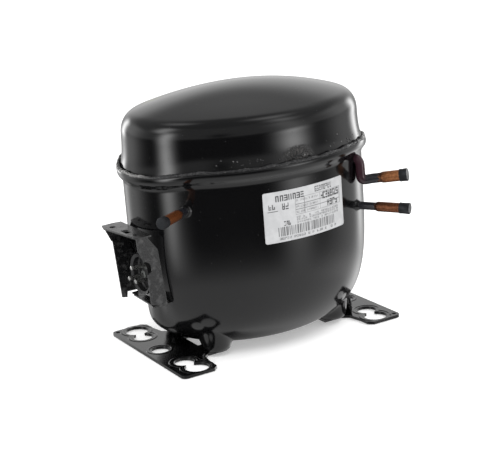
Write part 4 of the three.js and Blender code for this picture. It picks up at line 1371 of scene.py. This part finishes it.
@dataclass
class Studio:
    """Camera, floor, world, soft lights, and the room that only reflections see."""

    camera_place: tuple[float, float, float] = (-512.52, -902.04374, 387.26)
    azimuth: float = -29.78
    elevation: float = 16.49
    roll: float = -4.32
    lens: float = 98.793
    bands: tuple[Band, ...] = (
        Band(-176, 6, -15, 30, 5.0, 10), Band(170, 8, 31, 53, 3.3), Band(-60, 8, -11, 1, 3.7),
        Band(-60, 9, -22, 42, 1.05), Band(-47, 9, 44, 60, 1.5), Band(-14, 17, 60, 76, 1.4),
        Band(20, 5.5, -14, 16, 4.2),
        Band(-8, 15, -14, 32, 0.75), Band(97, 5.5, -6, 18, 4.4, 5), Band(96, 9, -20, -3, 1.1, 4),
        Band(126, 15, -20, 28, 0.85), Band(120, 15, 60, 76, 1.2), Band(58, 22, -14, 30, 0.72, 9),
        Band(-166, 8, -22, -14, 0.6, 4), Band(56, 17, 38, 57, 0.26), Band(-10, 24, -27, -13, 0.55, 5),
        Band(24, 12, -34, -14, 1.0, 4),
    )
    sky_low: float = 0.36
    sky_high: float = 0.24
    table_glow: float = 0.78
    table_dusk: tuple[float, float] = (16.0, 29.0)
    lens_dark: tuple[float, float, float, float] = (-119.0, 15.0, 7.0, 0.3)
    room_radius: float = 6.0
    least_glow: float = 0.02

    def camera(self) -> None:
        """Makes the camera at the wanted viewing angle."""
        a, e, r = (math.radians(v) for v in (self.azimuth, self.elevation, self.roll))
        right = np.array((math.cos(a), math.sin(a), 0.0))
        back = np.array((math.sin(a) * math.cos(e), -math.cos(a) * math.cos(e), math.sin(e)))
        up = np.cross(back, right)
        columns = (math.cos(r) * right + math.sin(r) * up, -math.sin(r) * right + math.cos(r) * up, back,
                   np.asarray(self.camera_place) * MM)
        data = bpy.data.cameras.new("camera")
        data.sensor_width = 36.0
        data.lens = self.lens
        data.clip_start, data.clip_end = 0.05, 100.0
        made = bpy.data.objects.new("camera", data)
        made.matrix_world = Matrix([[*(float(c[i]) for c in columns)] for i in range(3)] + [[0, 0, 0, 1]])
        bpy.context.scene.collection.objects.link(made)
        bpy.context.scene.camera = made

    def glowing_ball(self, name: str, grid: np.ndarray, glow: np.ndarray) -> None:
        """Makes a stage surface that only reflections see, and that shines by its attribute "glow".

        Args:
            name: Its name.
            grid: Its points in metres in the row frame, shaped (azimuths, elevations, 3).
            glow: The glow of each point.
        """
        mesh = bpy.data.meshes.new(name)
        mesh.from_pydata(grid.reshape(-1, 3).tolist(), [],
                         grid_faces(grid.shape[0], grid.shape[1], True, False).tolist())
        layer = mesh.attributes.new("glow", "FLOAT", "POINT")
        layer.data.foreach_set("value", glow.astype(np.float32).ravel())
        mesh.shade_smooth()
        material = bpy.data.materials.new(name)
        material.use_nodes = True
        nodes, links = material.node_tree.nodes, material.node_tree.links
        nodes.remove(nodes["Principled BSDF"])
        emission, read = nodes.new("ShaderNodeEmission"), nodes.new("ShaderNodeAttribute")
        read.attribute_name = "glow"
        links.new(read.outputs["Fac"], emission.inputs["Strength"])
        links.new(emission.outputs["Emission"], nodes["Material Output"].inputs["Surface"])
        mesh.materials.append(material)
        made = bpy.data.objects.new(name, mesh)
        bpy.context.scene.collection.objects.link(made)
        made.visible_camera = False
        made.visible_glossy = True
        made.visible_diffuse = made.visible_transmission = made.visible_shadow = False

    def room(self) -> None:
        """The reflected room: a large ball that glows by direction.

        The glow is a dim sky, the pale table seen from above (which dims towards the horizon and behind the
        object, where it lies in shadow), a dark spot round the camera, and the sum of the soft bands.
        """
        azimuth = (np.arange(180) * 2.0)[:, None]
        elevation = np.linspace(-90, 90, 91)[None, :]

        def off(centre: float) -> np.ndarray:
            """Angle from an azimuth, within half a turn."""
            return (azimuth - centre + 180) % 360 - 180

        glow = self.sky_low * smooth_step(elevation, -1, 8) - (self.sky_low - self.sky_high) * smooth_step(
            elevation, 52, 64)
        shaded = np.exp(-0.5 * (off(78) / 30) ** 2) * smooth_step(-elevation, 22, 30)
        lit = 1 + 0.3 * np.exp(-0.5 * (off(-15) / 50) ** 2)
        glow = glow + self.table_glow * smooth_step(-elevation, *self.table_dusk) * lit * (1 - 0.93 * shaded)
        spot_azimuth, spot_elevation, spread, depth = self.lens_dark
        apart = off(spot_azimuth) ** 2 + (elevation - spot_elevation) ** 2
        glow = glow - depth * np.exp(-0.5 * (apart / spread**2))
        for band in self.bands:
            height = smooth_step(elevation, band.low - band.edge, band.low + band.edge) * (
                1 - smooth_step(elevation, band.high - band.edge, band.high + band.edge))
            glow = glow + band.strength * np.exp(-0.5 * (off(band.azimuth) / band.spread) ** 2) * height * (
                1 - 0.8 * shaded)
        a, e = np.radians(azimuth), np.radians(elevation)
        x, y = np.cos(a) * np.cos(e), np.sin(a) * np.cos(e)
        ball = self.room_radius * np.stack([x, y, np.broadcast_to(np.sin(e), x.shape)], -1)
        self.glowing_ball("room_reflections", ball, np.maximum(glow, self.least_glow))

    def floor(self) -> None:
        """The plain pale floor."""
        half, below = 8.0, -0.0006
        corners = [(-half, -half, below), (half, -half, below), (half, half, below), (-half, half, below)]
        mesh = bpy.data.meshes.new("floor")
        mesh.from_pydata(corners, [], [(0, 1, 2, 3)])
        sheet = ShaderSheet("floor_paint")
        sheet.constant(Base_Color=(0.9, 0.9, 0.9), Roughness=0.9, Specular_IOR_Level=0.0,
                       Emission_Color=(1.0, 1.0, 1.0), Emission_Strength=0.34)
        mesh.materials.append(sheet.material)
        made = bpy.data.objects.new("floor", mesh)
        bpy.context.scene.collection.objects.link(made)
        made.visible_glossy = False

    def softbox(self, name: str, place: tuple[float, float, float], size: float, power: float) -> None:
        """An area light aimed at the middle of the object, which reflections don't see."""
        data = bpy.data.lights.new(name, "AREA")
        data.shape, data.size, data.energy = "DISK", size, power
        made = bpy.data.objects.new(name, data)
        made.location = place
        made.rotation_euler = (Vector((0, 0, 0.1)) - Vector(place)).to_track_quat("-Z", "Y").to_euler()
        made.visible_glossy = False
        bpy.context.scene.collection.objects.link(made)

    def build(self) -> None:
        """Sets up the whole studio."""
        scene = bpy.context.scene
        world = bpy.data.worlds.new("pale_room")
        world.use_nodes = True
        background = world.node_tree.nodes["Background"]
        background.inputs["Color"].default_value = (1.0, 1.0, 1.0, 1.0)
        background.inputs["Strength"].default_value = 1.0
        world.cycles_visibility.glossy = False
        scene.world = world
        scene.view_settings.view_transform = "Standard"
        self.camera()
        self.room()
        self.floor()
        self.softbox("key_light", (-0.9, -1.2, 1.9), 1.2, 16.0)
        self.softbox("fill_light", (1.4, -0.6, 1.5), 1.4, 10.0)


def main() -> None:
    """Builds the studio and every sub-assembly, in order."""
    logging.basicConfig(level=logging.INFO, format="%(name)s: %(message)s")
    Studio().build()
    dresser = Dresser()
    Shell().build(dresser)
    Nameplate().build(dresser)
    for stub in STUBS:
        stub.build(dresser)
    FootRails().build(dresser)
    Terminal().build(dresser)
    Works().build(dresser)
    log.info("%d pieces and nodes dressed", dresser.count)


if __name__ == "__main__":
    main()
